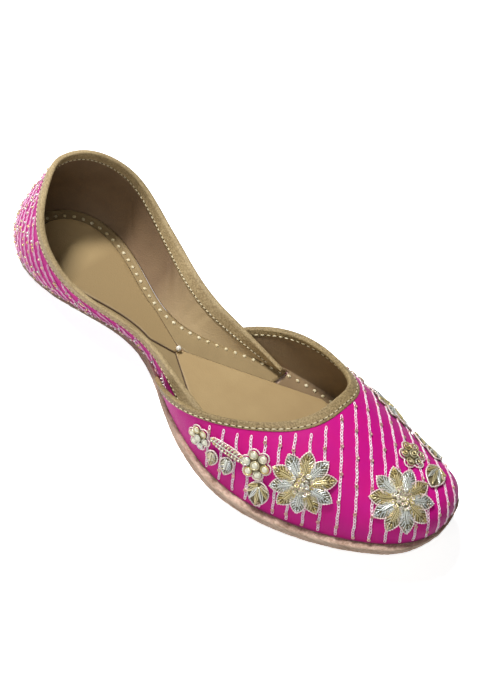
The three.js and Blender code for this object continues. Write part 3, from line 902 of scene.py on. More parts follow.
# side, then place and height of the high end, place and height of the low end, and depth in mm
CREASES = (
    (1, 0.33, 0.86, 0.37, 0.28, 0.32), (1, 0.36, 0.8, 0.39, 0.35, 0.24), (1, 0.385, 0.82, 0.4, 0.2, 0.34),
    (1, 0.41, 0.78, 0.415, 0.3, 0.26), (1, 0.435, 0.8, 0.43, 0.25, 0.22), (1, 0.22, 0.6, 0.26, 0.2, 0.2),
    (-1, 0.34, 0.84, 0.37, 0.3, 0.26), (-1, 0.38, 0.8, 0.4, 0.25, 0.3), (-1, 0.42, 0.78, 0.42, 0.3, 0.22))
CREASE_WIDTH = 1.1
WALL_RUN = 360.0


def creased(s, side, v):
    """How far the lining sinks at a point, from all the creases near it."""
    sunk, height = 0.0, collar_height_at(s)
    for where, high_s, high_v, low_s, low_v, depth in CREASES:
        if where != side or abs(s - (high_s + low_s) / 2) > 0.06:
            continue
        ax, ay = WALL_RUN * (low_s - high_s), height * (low_v - high_v)
        bx, by = WALL_RUN * (s - high_s), height * (v - high_v)
        t = clamp((ax * bx + ay * by) / (ax * ax + ay * ay), 0, 1)
        far = math.hypot(bx - t * ax, by - t * ay)
        fade = math.sin(math.pi * clamp(t, 0.08, 0.92)) ** 0.5
        trough = math.exp(-(far / CREASE_WIDTH) ** 2)
        ridge = math.exp(-((far - RIDGE_AWAY * CREASE_WIDTH) / CREASE_WIDTH) ** 2)
        sunk += depth * fade * (trough - RIDGE_SHARE * ridge)
    return sunk


def quarter_inside(u, v):
    s, side = round_shoe(u, WING_PLACE, 0)
    low = FLANGE_THICKNESS / collar_height_at(s)
    top = quarter_share(s, BINDING_WIDTH - UNDER_BINDING)
    share = low + v * (top - low)
    return quarter_point(s, side, share, WALL - creased(s, side, share))


def quarter_flange(u, v):
    s, side = round_shoe(u, WING_PLACE, 0)
    deep = flange_reach(s) - tuck_at(s)
    spot = quarter_point(s, side, 0, WALL - 0.4 + (deep - WALL + 0.4) * v)
    crown = 0.5 * max(0, 1 - v * (deep - WALL) / 1.2) ** 2
    spot.z += FLANGE_THICKNESS + FLANGE_RAISE + crown
    return spot


sheet_piece("quarter_lining", bent_grid(340, 30, quarter_inside), False, 0.8, lining_painted_shading_leather,
            "magenta_silk", "quarter")
sheet_piece("quarter_flange", bent_grid(260, 10, quarter_flange), True, 0.8, flange_leather,
            "magenta_silk", "quarter")

# %% [markdown]
# The vamp is pulled over the toe as one cloth. Its grid walks from the outer tip of the throat round
# the toe to the inner tip, with more columns where the throat's rim turns.


# %% Vamp: silk cover
VAMP_FLAT = (260.0, 70.0)


def vamp_station(u, tip, front):
    """Stations close together where the throat's rim turns, then even to the toe."""
    t = 2 * u if u <= 0.5 else 2 - 2 * u
    side = -1 if u <= 0.5 else 1
    front_place = place_of(front)
    if t < 0.5:
        x = tip + (0.02 + 0.98 * (1 - (1 - 2 * t) ** 2)) * (front - tip)
        return min(place_of(x), front_place), side
    return front_place + (2 * t - 1) * (1 - front_place), side


def vamp_top(s, tip, front):
    return throat_angle(x_of(s), tip, front) if s < place_of(front) else math.pi / 2


COVER_TIP = THROAT_TIP + 1.1 * BINDING_WIDTH - UNDER_BINDING
COVER_FRONT = THROAT_FRONT + BINDING_WIDTH - UNDER_BINDING


def vamp_face(u, v):
    s, side = vamp_station(u, COVER_TIP, COVER_FRONT)
    return vamp_point(s, side, v * vamp_top(s, COVER_TIP, COVER_FRONT))


vamp_cloth = bent_grid(280, 44, vamp_face, VAMP_FLAT)
vamp_tree = BVHTree.FromBMesh(vamp_cloth)
sheet_piece("vamp_silk", vamp_cloth.copy(), False, 0.8, silk, "magenta_silk", "vamp")

# %% [markdown]
# The vamp's lining and flange are one sheet: the first rows of the grid lie flat on the sole, and
# the others climb the inside of the dome.


# %% Vamp: leather lining with its flange
FLANGE_ROWS = 0.2


def vamp_inside(u, v):
    s, side = vamp_station(u, COVER_TIP, COVER_FRONT)
    turned = flange_depth(s) if x_of(s) > WING_END + 1 else WALL
    top = vamp_top(s, COVER_TIP, COVER_FRONT)
    if v < FLANGE_ROWS:
        spot = vamp_point(s, side, 0, turned + (WALL - turned) * v / FLANGE_ROWS)
    else:
        spot = vamp_point(s, side, (v - FLANGE_ROWS) / (1 - FLANGE_ROWS) * top, WALL)
    spot.z = max(spot.z, SEAT + FLANGE_THICKNESS + spring_at(spot.x))
    return spot


sheet_piece("vamp_lining", bent_grid(240, 44, vamp_inside), True, 0.7, vamp_lining_leather,
            "magenta_silk", "vamp")

# %% [markdown]
# A strip of leather is folded over each rim and stitched through. Its face stands a little proud of
# the silk, and it bends over the rim in a soft round.


# %% Bindings
FACE_END = 0.4
FOLD_END = 0.55
BACK_END = 0.92
FOLD_SHARE = 0.14


def strip_section(v):
    """Round a folded strip: how far across it lies, and how deep, where 0 is the outer face."""
    out, inn = -BINDING_EXTRA, WALL + BINDING_EXTRA
    flat = 1 - FOLD_SHARE
    if v < FACE_END:
        swell = 0.35 * math.sin(math.pi * min(1, v / FACE_END)) ** 0.5
        return flat * v / FACE_END, out - swell * 0.3
    if v < FOLD_END:
        turn = (v - FACE_END) / (FOLD_END - FACE_END) * math.pi
        return flat + FOLD_SHARE * math.sin(turn), (out + inn) / 2 - (inn - out) / 2 * math.cos(turn)
    if v < BACK_END:
        return flat * (1 - (v - FOLD_END) / (BACK_END - FOLD_END)), inn
    return 0.0, inn + (out - inn) * (v - BACK_END) / (1 - BACK_END)


def quarter_strip(u, v):
    s, side = round_shoe(u, WING_PLACE, 0)
    across, depth = strip_section(v)
    low = quarter_share(s, BINDING_WIDTH)
    return quarter_point(s, side, low + across * (1 - low), depth)


def rim_point(t, side, across, depth):
    tip = THROAT_TIP + 1.1 * BINDING_WIDTH * (1 - across)
    front = THROAT_FRONT + BINDING_WIDTH * (1 - across)
    x = tip + t * (front - tip)
    return vamp_point(place_of(x), side, throat_angle(x, tip, front), depth)


def rim_walk(u):
    """Share of the way up the throat and side, from the outer tip round the front to the inner tip."""
    t = 1 - abs(2 * u - 1)
    return 0.02 + 0.98 * (1 - (1 - t) ** 2), (-1 if u <= 0.5 else 1)


def vamp_strip(u, v):
    t, side = rim_walk(u)
    across, depth = strip_section(v)
    return rim_point(t, side, across, depth)


def strip_piece(name, columns, place, leather_used, node_name):
    """A strip bent round a rim, with its two cut ends closed."""
    bm = bent_grid(columns, 44, place)
    bmesh.ops.holes_fill(bm, edges=[edge for edge in bm.edges if len(edge.link_faces) == 1])
    made = piece(name, bm, leather_used)
    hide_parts(node_name)
    print(name, "faces", len(made.data.polygons))


strip_piece("quarter_strip", 260, quarter_strip, binding_leather, "quarter_binding")
strip_piece("vamp_strip", 220, vamp_strip, vamp_binding_shaded_leather, "vamp_binding")

# %% [markdown]
# Chain stitch is worked with a hooked needle on a frame, before the silk is cut, so its lines run
# straight across the cloth at a slant and carry on over the ridge of the vamp. They stop where a motif
# lies, so the motifs' places come first. Each is a flat frame over the silk, in which it is laid out.

# %% Where the motifs lie
REACHES = {"flower": 0.35, "stones": 0.15, "leaf": 0.15, "stem": 0.15}
FLOWER_SIZE = 32.0
STONE_FLOWER_SIZE = 13.4
LEAF_SIZE = 13.0
STEM_LENGTH = 19.0
# name, kind, size, place behind the toe as a share of VAMP_REACH, degrees up the dome, turn
SIDE_MOTIFS = (
    ("stone_flower_back", "stones", 0.85, 0.714, 14.5, 0), ("stem", "stem", 1.0, 0.618, 22.2, 4),
    ("leaf_back", "leaf", 0.68, 0.645, 10.5, -75), ("leaf_middle", "leaf", 0.76, 0.592, 13.4, -75),
    ("stone_flower_middle", "stones", 1.0, 0.522, 26.2, 0), ("leaf_front", "leaf", 1.1, 0.466, 10.8, -78),
    ("flower_side", "flower", 0.97, 0.38, 33, 0))
# the same, with the side at the end
TOE_MOTIFS = (
    ("flower_toe", "flower", 0.97, 0.086, 54.2, 0, -1),
    ("stone_flower_toe", "stones", 0.97, 0.169, 75.5, 0, 1),
    ("leaf_toe", "leaf", 1.05, 0.013, 63, 0, 1),
    ("leaf_toe_back", "leaf", 1.0, 0.224, 38.4, 60, 1),
    ("leaf_toe_front", "leaf", 1.0, 0.158, 40, 60, 1))
SIDE_NAMES = {-1: "_outer", 1: "_inner"}
MOTIFS = [(row[0] + SIDE_NAMES[side],) + row[1:] + (side,) for row in SIDE_MOTIFS for side in (-1, 1)]
MOTIFS += TOE_MOTIFS
RAY_HEIGHT = 20


class Spot:
    """A flat frame over the vamp, from which sewn shapes are dropped on to the silk."""

    def __init__(self, kind, place_from, degrees, turn, side):
        s, angle, reach = place_of(HALF - place_from * VAMP_REACH), math.radians(degrees), REACHES[kind]
        self.centre = vamp_point(s, side, angle)
        ahead, behind = (vamp_point(s + way * 0.1 * reach, side, angle) for way in (1, -1))
        along = (ahead - behind).normalized()
        climb = vamp_point(s, side, angle + reach) - vamp_point(s, side, angle - reach)
        self.out = (along.cross(climb) * -side).normalized()
        up = self.out.cross(along) * -side
        turn = math.radians(turn)
        self.long = along * math.cos(turn) + up * math.sin(turn)
        self.wide = up * math.cos(turn) - along * math.sin(turn)

    def at(self, a, b, height):
        """A point a along the motif and b across it, dropped on to the silk and raised by height."""
        spot = self.centre + self.long * a + self.wide * b
        hit = vamp_tree.ray_cast((spot + self.out * RAY_HEIGHT) * MM, -self.out)[0]
        return (hit / MM if hit else spot) + self.out * height


SPOTS = {name: (kind, size, Spot(kind, place_from, degrees, turn, side))
         for name, kind, size, place_from, degrees, turn, side in MOTIFS}
print("motifs:", len(SPOTS))

# %% [markdown]
# Chain stitch is a row of thread loops, each caught by the next. A loop is modelled once, with few
# faces, because there are thousands. A small copper ring hangs on the chain here and there.

# %% One link and one ring
LINK_PITCH = 1.5
LINK_LONG = 1.05
LINK_WIDE = 0.45
THREAD = 0.21
RING_WIRE = 0.42


def loop_shape(corners, sides, radius, place):
    """A closed loop of thread or wire through place(angle)."""
    loop = Heap()
    path = [Vector(place(2 * math.pi * k / corners)) for k in range(corners)]
    tube(loop, path, [radius] * corners, sides, 0, closed=True, start_out=Vector((0, 0, 1)))
    print("loop of", corners, "corners:", len(loop.faces), "faces")
    return loop.points, loop.faces


def link_place(t):
    """A link is wider at its front, and its front lies a little higher."""
    return LINK_LONG * math.cos(t), LINK_WIDE * math.sin(t) * (1 + 0.3 * math.cos(t)), 0.1 * math.cos(t)


def ring_place(t):
    return math.cos(t), math.sin(t), 0


LINK = loop_shape(9, 4, THREAD, link_place)
RING = loop_shape(10, 5, RING_WIRE, ring_place)

# %% [markdown]
# The lines on the vamp are straight when the cloth is flat, and bend only because the toe is round.
# So each is the cut of a slanted plane through the cloth, found with the bisect operator. The planes
# fan out a little to the toe. A line stops where a motif covers it.

# %% Chain stitch on the vamp
LINE_FIRST = 6.6
LINE_STEP_BACK = 7.9
LINE_STEP_FRONT = 9.1
LINES_BACK = 8
LINES = 19
FAN_MIDDLE = 65
RING_SIZE = 0.62
RING_EVERY = 8
BEAD_CHANCE = 0.3
BEAD_SIZE = (0.62, 0.6, 0.6)
MOTIF_COVER = 0.75


def loose_ends(edge, edges):
    """The ends of an edge that no other edge of the set touches."""
    return [vert for vert in edge.verts if sum(k in edges for k in vert.link_edges) == 1]


def cut_lines(cloth, slant, level):
    """The lines in which a slanted plane meets the cloth, as lists of points in millimetres."""
    bm = cloth.copy()
    cut = bmesh.ops.bisect_plane(bm, geom=bm.verts[:] + bm.edges[:] + bm.faces[:], dist=1e-7,
                                 plane_co=slant.normalized() * (level / slant.length) * MM, plane_no=slant)
    edges = dict.fromkeys(edge for edge in cut["geom_cut"] if isinstance(edge, bmesh.types.BMEdge))
    lines = []
    while edges:
        start = next((edge for edge in edges if loose_ends(edge, edges)), None)
        edge = start or next(iter(edges))
        ends = loose_ends(edge, edges)
        spot = ends[0] if ends else edge.verts[0]
        line = [spot.co / MM]
        while edge:
            edges.pop(edge, None)
            spot = edge.other_vert(spot)
            line.append(spot.co / MM)
            edge = next((k for k in spot.link_edges if k in edges), None)
        lines.append(line)
    bm.free()
    return lines


def chain(links, rings, path, out_at, seed, size=1.0, beads=None):
    """Links of chain stitch along a path, with a small copper ring here and there, or beads between."""
    spots = evenly(path, LINK_PITCH)
    for n in range(len(spots) - 1):
        spot, way = spots[n], spots[n + 1] - spots[n]
        out = out_at(spot)
        wander = 0.12 * math.sin(n * 1.3 + seed) + 0.1 * jitter(seed + n)
        sway = out.cross(way).normalized() * wander
        lift = THREAD + 0.12 * (n % 2)
        set_down(links, LINK, spot + sway + out * lift, way, out, (1, size, size), lottery(n + 3 * seed))
        if beads and lottery(3.7 * n + seed) < BEAD_CHANCE:
            set_down(beads, BALL, spot - sway + out * 0.8, way, out, BEAD_SIZE, lottery(n + seed))
        if (n + round(7 * lottery(seed))) % RING_EVERY == 3:
            set_down(rings, RING, spot + sway * 2 + out * 0.75, way + out * 0.4, out, (RING_SIZE,) * 3,
                     lottery(n))


def near_motif(spot):
    radius = {"flower": FLOWER_SIZE / 2, "stones": STONE_FLOWER_SIZE / 2, "leaf": LEAF_SIZE / 3, "stem": 1.0}
    return any((spot - at.centre).length < MOTIF_COVER * size * radius[kind]
               for kind, size, at in SPOTS.values())


def vamp_out(spot):
    return vamp_tree.find_nearest(spot * MM)[1]


def line_plane(n):
    """The slant and level of one line: the lines fan out a little where the cloth is pulled to the toe."""
    level = LINE_FIRST + LINE_STEP_BACK * min(n, LINES_BACK) + LINE_STEP_FRONT * max(0, n - LINES_BACK)
    return Vector((1.0, clamp(0.78 + 0.0055 * (level - FAN_MIDDLE), 0.72, 1.35), 0.32)), level


vamp_links, vamp_rings = Heap(), Heap()
for n in range(LINES):
    for line in cut_lines(vamp_cloth, *line_plane(n)):
        spots = evenly(line, 0.5)
        low = [spots[k].z - SEAT - spring_at(spots[k].x) < 1 for k in (0, -1)]
        skip = [3 if is_low else round(5 + 3 * lottery(n + k)) for k, is_low in enumerate(low)]
        spots = spots[skip[0]:len(spots) - skip[1]]
        run = []
        for spot in spots + [None]:
            if spot is not None and not near_motif(spot):
                run.append(spot)
                continue
            if len(run) > 3:
                chain(vamp_links, vamp_rings, run, vamp_out, n + 1)
            run = []
vamp_links.made("vamp_chain_stitch", chain_thread, "metal_embroidery")
vamp_rings.made("vamp_rings", copper_ring, "metal_embroidery")

# %% [markdown]
# On the quarter the lines run down from the topline and forward from a seam at the back. They are
# drawn on the wall's own formula, so that they keep their distance where the wall turns.

# %% Chain stitch on the quarter
# side, distance between lines in mm, and how far forward a line runs for each mm that it falls
QUARTER_LINES = ((-1, 10.5, 1.6), (1, 6.0, 0.45))
BACK_SEAM = 1.2
LINE_TOP = 2.2
LINE_FOOT = 0.8
WALK_STEPS = 120
WALK_HEIGHT = 0.4
LINK_GROWTH = 1.15


def quarter_walk():
    """How far round the wall each place lies from the middle of the back."""
    rows, last = [(0.0, 0.0)], quarter_point(0, 1, WALK_HEIGHT)
    for n in range(1, WALK_STEPS + 1):
        s = WING_PLACE * n / WALK_STEPS
        spot = quarter_point(s, 1, WALK_HEIGHT)
        rows.append((rows[-1][0] + (spot - last).length, s))
        last = spot
    return rows


WALK = quarter_walk()
WALK_END = WALK[-1][0]


def place_at(far):
    n = next((k for k in range(1, len(WALK)) if WALK[k][0] >= far), len(WALK) - 1)
    (a, low), (b, high) = WALK[n - 1], WALK[n]
    return low + (high - low) * (far - a) / (b - a)


def quarter_line(start, side, lean):
    """One slanted line, from the binding or the back seam down and on towards the toe."""
    path = []
    for n in range(int(BACK_HEIGHT) + 10):
        far = start + lean * n
        if far < BACK_SEAM:
            continue
        if far > WALK_END - 1:
            break
        s = place_at(far)
        height = collar_height_at(s)
        dropped = BINDING_WIDTH + LINE_TOP + n
        if dropped > height - LINE_FOOT:
            break
        path.append(quarter_point(s, side, 1 - dropped / height))
    return path


quarter_tree = BVHTree.FromBMesh(bent_grid(160, 16, quarter_face))


def quarter_out(spot):
    out = quarter_tree.find_nearest(spot * MM)[1]
    middle = Vector((spine_x(clamp(spot.x, -HALF, HALF)), swing_at(spot.x), spot.z))
    return out if out.dot(spot - middle) > 0 else -out


quarter_links, quarter_rings, quarter_beads = Heap(), Heap(), Heap()
for side, step, lean in QUARTER_LINES:
    for n in range(-int(BACK_HEIGHT * lean / step), int(WALK_END / step)):
        line = quarter_line((n + 0.5) * step, side, lean)
        if len(line) > 3:
            chain(quarter_links, quarter_rings, line, quarter_out, n + 40, LINK_GROWTH, quarter_beads)
quarter_links.made("quarter_chain_stitch", rose_thread, "metal_embroidery")
quarter_rings.made("quarter_rings", copper_ring, "metal_embroidery")
quarter_beads.made("quarter_beads", coil_wire, "metal_embroidery")

# %% [markdown]
# The flowers are zardozi: pads of card are covered with cut lengths of coiled wire, each sewn down
# like a bead, and a twisted cord is couched round every petal. Heights are in mm over the silk. The pads
# come first. A pad is one closed cushion, so that nothing shows through between two coils.

# %% Pads
COIL = 0.44
BARB = 0.34
COIL_PITCH = 0.85
PAD_FOOT = 0.4


def pad(heap, at, outline, crown, rim, tone):
    """A closed low cushion: rings of points from its middle to its rim, and back underneath."""
    rows = [(0.0, crown), (0.5, crown * 0.96), (0.85, (crown + rim) / 2), (1.0, rim),
            (1.0, PAD_FOOT), (0.5, PAD_FOOT), (0.0, PAD_FOOT)]
    middle = sum((Vector(p) for p in outline), Vector((0, 0))) / len(outline)
    count = len(outline)
    points, faces = [at(*middle, rows[0][1])], []
    for share, height in rows[1:-1]:
        points += [at(*(middle + (Vector(p) - middle) * share), height) for p in outline]
    points.append(at(*middle, rows[-1][1]))
    for k in range(count):
        m = (k + 1) % count
        faces.append([0, 1 + k, 1 + m])
        for row in range(len(rows) - 3):
            a, b = 1 + row * count, 1 + (row + 1) * count
            faces.append([a + k, b + k, b + m, a + m])
        a = 1 + (len(rows) - 3) * count
        faces.append([a + k, len(points) - 1, a + m])
    if (points[2] - points[1]).cross(points[0] - points[1]).dot(points[0] - points[-1]) < 0:
        faces = [face[::-1] for face in faces]
    heap.add(points, faces, tone)


def circle(radius, corners):
    return [(radius * math.cos(t), radius * math.sin(t))
            for t in (2 * math.pi * k / corners for k in range(corners))]


def mirrored(rim):
    """A closed outline from one side of it."""
    return rim + [(a, -b) for a, b in rim[-2:0:-1]]


# %% [markdown]
# A petal is filled like a feather: a rib of long coils down its middle and short ones, the barbs,
# leaning out of it. Each coil is a thin tube that swells at every turn of the wire. Laid one by one
# in a loop, every coil has its own shine, which a bump pattern could not give.

# %% Petals
RIB_SPREAD = 0.22
RIB_HEIGHT = 1.6
RIB_CROWN = 0.45
RIB_START = 0.1
RIB_RUN = 0.55
BARB_HEIGHT = 1.55
BARB_REACH = 0.15
CORD = 0.44
CORD_PITCH = 1.15
CORD_HEIGHT = 1.15


def petal_width(t):
    return (4 * t * (1 - t)) ** 0.95 if 0 < t < 1 else 0.0


def frame_turned(spot, turn):
    """A motif's frame turned about its middle: a along the petal, b across it."""
    c, s = math.cos(turn), math.sin(turn)
    return lambda a, b, height: spot.at(a * c - b * s, a * s + b * c, height)


def feather(wires, at, near, long, half_wide, tone, seed, rows):
    """A rib of long coils with short ones leaning out of it to the rim, like barbs of a feather."""
    for k in (-1, 0, 1):
        path = []
        for t in (RIB_START + RIB_RUN * m / 6 for m in range(7)):
            aside = k * half_wide * RIB_SPREAD * math.sin(math.pi * t) ** 0.5
            path.append(at(near + long * t, aside, RIB_HEIGHT + RIB_CROWN * (k == 0)))
        coil(wires, path, COIL, COIL_PITCH, tone)
    for row in range(rows):
        t = 0.06 + 0.86 * row / rows
        tip = min(t + BARB_REACH, 0.97)
        for way in (-1, 1):
            inner = way * half_wide * (0.3 if t < 0.55 else 0.12)
            outer = way * max(half_wide * petal_width(tip) - 0.6, 0.2)
            shine = clamp(tone + 0.8 * jitter(seed + 3 * row + way), 0, 1)
            height = BARB_HEIGHT + 0.35 * lottery(seed + 7 * row + way)
            path = [at(near + long * (t + (tip - t) * m / 3), inner + (outer - inner) * m / 3,
                       height - 0.13 * m) for m in range(4)]
            coil(wires, path, BARB, COIL_PITCH, shine)


def petal(wires, cords, pads, at, near, far, half_wide, tone, seed):
    """A pointed petal from near to far: pad, cord round it and coils laid in it like a feather."""
    long = far - near
    rim = [(near + long * t, half_wide * petal_width(t)) for t in (k / 10 for k in range(11))]
    outline = mirrored(rim)
    pad(pads, at, outline, 1.0, 0.7, tone)
    coil(cords, [at(a, b, CORD_HEIGHT) for a, b in outline], CORD, CORD_PITCH, lottery(seed), closed=True,
         neck=0.3)
    feather(wires, at, near, long, half_wide, tone, seed, 9)


# %% [markdown]
# A flower is ten petals, silver and gold in turn, round a raised heart of small rings of coiled wire.
# The rings are tilted at random, so that the heart glitters from every side.

# %% Flowers
PETALS = 10
PETAL_START = 3.2
PETAL_HALF_WIDTH = 3.5
RING_CORNERS = 12
HEART = 4.6
INNER_RINGS = 7
INNER_ROW = 2.2
OUTER_RINGS = 13
OUTER_ROW = 4.5


def ring_coil(heap, spot, a, b, height, radius, wire, tone, tilt=(0.0, 0.0)):
    centre = spot.at(a, b, height)
    path = []
    for k in range(RING_CORNERS):
        t = 2 * math.pi * k / RING_CORNERS
        lift = tilt[0] * math.cos(t) + tilt[1] * math.sin(t)
        path.append(centre + (spot.long * math.cos(t) + spot.wide * math.sin(t)) * radius + spot.out * lift)
    coil(heap, path, wire, COIL_PITCH, tone, closed=True, neck=0.6)


def flower(wires, cords, stones, pads, spot, size, seed):
    far = size * FLOWER_SIZE / 2 - 0.4
    for k in range(PETALS):
        tone = clamp((0.85 if k % 2 else 0.12) + 0.1 * jitter(seed + k), 0, 1)
        turn = 2 * math.pi * k / PETALS + 0.06 * jitter(seed + 2 * k)
        end = far - 0.9 * lottery(3 * k + seed)
        petal(wires, cords, pads, frame_turned(spot, turn), PETAL_START, end, PETAL_HALF_WIDTH, tone,
              seed + 10 * k)
    pad(pads, spot.at, circle(HEART, 16), 1.6, 1.0, 0.7)
    for k in range(1 + INNER_RINGS + OUTER_RINGS):
        outer = k > INNER_RINGS
        share = (k - 1 - INNER_RINGS) / OUTER_RINGS if outer else k / INNER_RINGS
        far_out = OUTER_ROW if outer else INNER_ROW if k else 0
        t = 2 * math.pi * share + 0.3 * lottery(seed + k)
        a, b = far_out * math.cos(t), far_out * math.sin(t)
        tilt = (1.2 * jitter(seed + k + 5), 1.2 * jitter(seed + k + 9))
        ring_coil(wires, spot, a, b, 2.5 - 0.13 * far_out, 0.78 + 0.2 * lottery(k), COIL,
                  0.2 + 0.8 * lottery(seed + 3 * k), tilt)
        set_down(cords, BALL, spot.at(a, b, 2.3 - 0.13 * far_out), spot.long, spot.out,
                 (0.5, 0.5, 0.4), lottery(seed + 2 * k))


# %% [markdown]
# The small flowers are six round stones about a seventh. Each sits in a ring of coiled wire, as in a
# collet. The one at the toe has rosettes of wire in place of stones. A cord runs round in scallops.

# %% Stone flowers
STONES = 6


def stone(wires, stones, spot, a, b, height, radius, seed):
    """A round stone in a collet of coiled wire."""
    ring_coil(wires, spot, a, b, height - 0.5, radius * 0.84, 0.38, lottery(seed))
    set_down(stones, SMOOTH_BALL, spot.at(a, b, height - 0.6), spot.long, spot.out,
             (radius * 0.66, radius * 0.66, 0.6), lottery(seed + 5))


def rosette(wires, stones, spot, a, b, height, radius, seed):
    """Two rings of coiled wire, one in the other."""
    ring_coil(wires, spot, a, b, height - 0.5, radius * 0.84, 0.4, 0.4 + 0.6 * lottery(seed))
    ring_coil(wires, spot, a, b, height - 0.1, radius * 0.36, 0.4, 0.5 + 0.5 * lottery(seed + 1),
              (jitter(seed + 2), jitter(seed + 3)))


def stone_flower(wires, cords, stones, pads, spot, size, seed, setting=stone):
    radius = size * STONE_FLOWER_SIZE / 2
    small, far = radius * 0.32, radius * 0.68
    pad(pads, spot.at, circle(far, 12), 1.0, 0.7, 0.4)
    scallops = []
    for k in range(STONES):
        t = 2 * math.pi * k / STONES + 0.25
        a, b = far * math.cos(t), far * math.sin(t)
        setting(wires, stones, spot, a, b, 2.1, small, seed + k)
        for turn in (t + m * 0.52 for m in range(-3, 4)):
            across, aside = 1.22 * small * math.cos(turn), 1.22 * small * math.sin(turn)
            scallops.append(spot.at(a + across, b + aside, 0.9))
    setting(wires, stones, spot, 0, 0, 2.6, small * 1.05, seed + 9)
    coil(cords, scallops, 0.42, 0.9, 0.3, closed=True, neck=0.45)


def coil_flower(*settings):
    stone_flower(*settings, setting=rosette)


# %% [markdown]
# Small leaves are filled like petals. The large ones are a fan of seven lobes of gold and silver wire,
# which bend out of the leaf's foot and show the felt between them, painted dark as shade.

# %% Leaves
SMALL_LEAF = 0.9
# how far each lobe leans, in radians, and its tone from silver (0) to gold (1)
LOBES = ((-1.2, 0.9), (-0.8, 0.7), (-0.4, 0.1), (0.0, 0.8), (0.4, 0.2), (0.8, 0.9), (1.2, 0.6))
LOBE_POINTS = 8


def leaf_rim(far, wide):
    rim = []
    for k in range(21):
        t = k / 20
        half = wide * 1.12 * (math.sin(math.pi * t ** 0.8)) ** 0.75 if 0 < k < 20 else 0.0
        rim.append((-far + 2 * far * t, half))
    return rim


def leaf(wires, cords, stones, pads, spot, size, seed):
    """A leaf of coiled wire inside one couched outline."""
    far, wide = size * LEAF_SIZE / 2 - 0.3, size * LEAF_SIZE / 3.2
    outline = mirrored(leaf_rim(far, wide))
    pad(pads, spot.at, outline, 0.9, 0.7, 0.5)
    coil(cords, [spot.at(a, b, 1.0) for a, b in outline], CORD, 0.95, 0.4, closed=True, neck=0.45)
    if size < SMALL_LEAF:
        feather(wires, spot.at, -far, 2 * far, wide * 1.05, lottery(seed), seed, 8)
        return
    for lean, tone in LOBES:
        reach = (1.62 - 0.62 * abs(lean)) * far
        for k in (-1, 0, 1):
            path = []
            for m in range(LOBE_POINTS):
                t = 0.12 + 0.88 * m / (LOBE_POINTS - 1)
                belly = k * 0.105 * far * math.sin(math.pi * t) ** 0.8
                a = -far * 0.8 + reach * t * math.cos(lean) - belly * math.sin(lean)
                b = reach * t * math.sin(lean) * 0.85 + belly * math.cos(lean)
                path.append(spot.at(a, b, 1.8 - 0.4 * abs(k)))
            coil(wires, path, COIL * 0.85, COIL_PITCH, tone)


# %% [markdown]
# The stem ties the two stone flowers together: a stalk of wire with short coils and beads on both
# sides, and a cord along each edge.

# %% Stems
STEM_BARBS = 11
STEM_BARB_WIDTH = 2.1
STEM_EDGE = 2.2
STEM_BEND = 0.6


def stem(wires, cords, stones, pads, spot, size, seed):
    far = size * STEM_LENGTH / 2 - 0.4

    def at(t, aside, height):
        return spot.at(far * t, aside + STEM_BEND * math.sin(1.6 * t), height)

    steps = [-1 + m / 8 for m in range(17)]
    coil(wires, [at(t, 0, 1.7) for t in steps], COIL, COIL_PITCH, 0.3)
    for k in range(STEM_BARBS):
        t = -0.93 + 1.8 * k / (STEM_BARBS - 1)
        wide = STEM_BARB_WIDTH * (1 - t * t) ** 0.4
        for way in (-1, 1):
            shine = 0.25 + 0.75 * lottery(seed + 2 * k + way)
            coil(wires, [at(t, way * 0.35, 1.6), at(t + 0.12, way * wide, 1.2)], COIL, COIL_PITCH, shine)
            bead = at(t + 0.05, way * wide * 0.75, 1.7)
            set_down(wires, BALL, bead, spot.long, spot.out, (0.7, 0.5, 0.45), shine)
    for way in (-1, 1):
        path = [at(t, way * STEM_EDGE * max(0, 1 - t ** 2) ** 0.45, 0.95) for t in steps]
        coil(cords, path, 0.3, 0.9, 0.2, neck=0.45)


# %% [markdown]
# Each motif is sewn on as four heaps, one to a material: wires, cords, stones and pads. A heap that a
# kind has no use for stays empty. The wires stand for the motif's solid, whose outline they follow.

# %% Sew the motifs on
SEWING = {"flower": flower, "stones": stone_flower, "leaf": leaf, "stem": stem}
OTHER_SEWING = {"stone_flower_toe": coil_flower}
for n, (name, (kind, size, spot)) in enumerate(SPOTS.items()):
    wires, cords, stones, pads = Heap(), Heap(), Heap(), Heap()
    sew = OTHER_SEWING.get(name, SEWING[kind])
    sew(wires, cords, stones, pads, spot, size, 7 * n + 1)
    wires.made(name + "_wire", coil_wire, "metal_embroidery", name)
    cords.made(name + "_cord", outline_cord, "metal_embroidery")
    if stones.points:
        stones.made(name + "_stones", cut_stone, "metal_embroidery")
    if pads.points:
        pads.made(name + "_padding", felt_pad_painted_dark, "metal_embroidery")

# %% [markdown]
# The bindings are stitched through with cream thread, which shows on both faces. A stitch is a short
# rounded length of thread that sinks at both ends into a needle hole.

# %% Stitches
FINE = 400
STITCH_LIFT = 0.08
STITCH_LIFT_INSIDE = 0.05
VAMP_ROW = 0.24
QUARTER_ROW = 0.16
HOLE = (0.4, 0.3, 0.12)
needle_holes = Heap()


def running(name, spot_at, out_at, length, pitch, width, ends, tone):
    """A row of stitches, and a hole where each starts."""
    stitches = Heap()
    first, last = ends
    fine = [spot_at(first + (last - first) * k / FINE) for k in range(FINE + 1)]
    spots = evenly(fine, pitch)
    for n in range(len(spots) - 1):
        way = (spots[n + 1] - spots[n]).normalized()
        middle = spots[n] + way * (pitch / 2)
        set_down(stitches, BALL, middle, way, out_at(middle), (length / 2, width / 2, width / 2),
                 clamp(tone + 0.4 * jitter(n), 0, 1))
        set_down(needle_holes, BALL, spots[n], way, out_at(spots[n]), HOLE, lottery(n))
    stitches.made(name, cream_thread, "cotton_thread")


def vamp_stitch(u, depth=-BINDING_EXTRA - STITCH_LIFT):
    t, side = rim_walk(u)
    return rim_point(t, side, VAMP_ROW, depth)


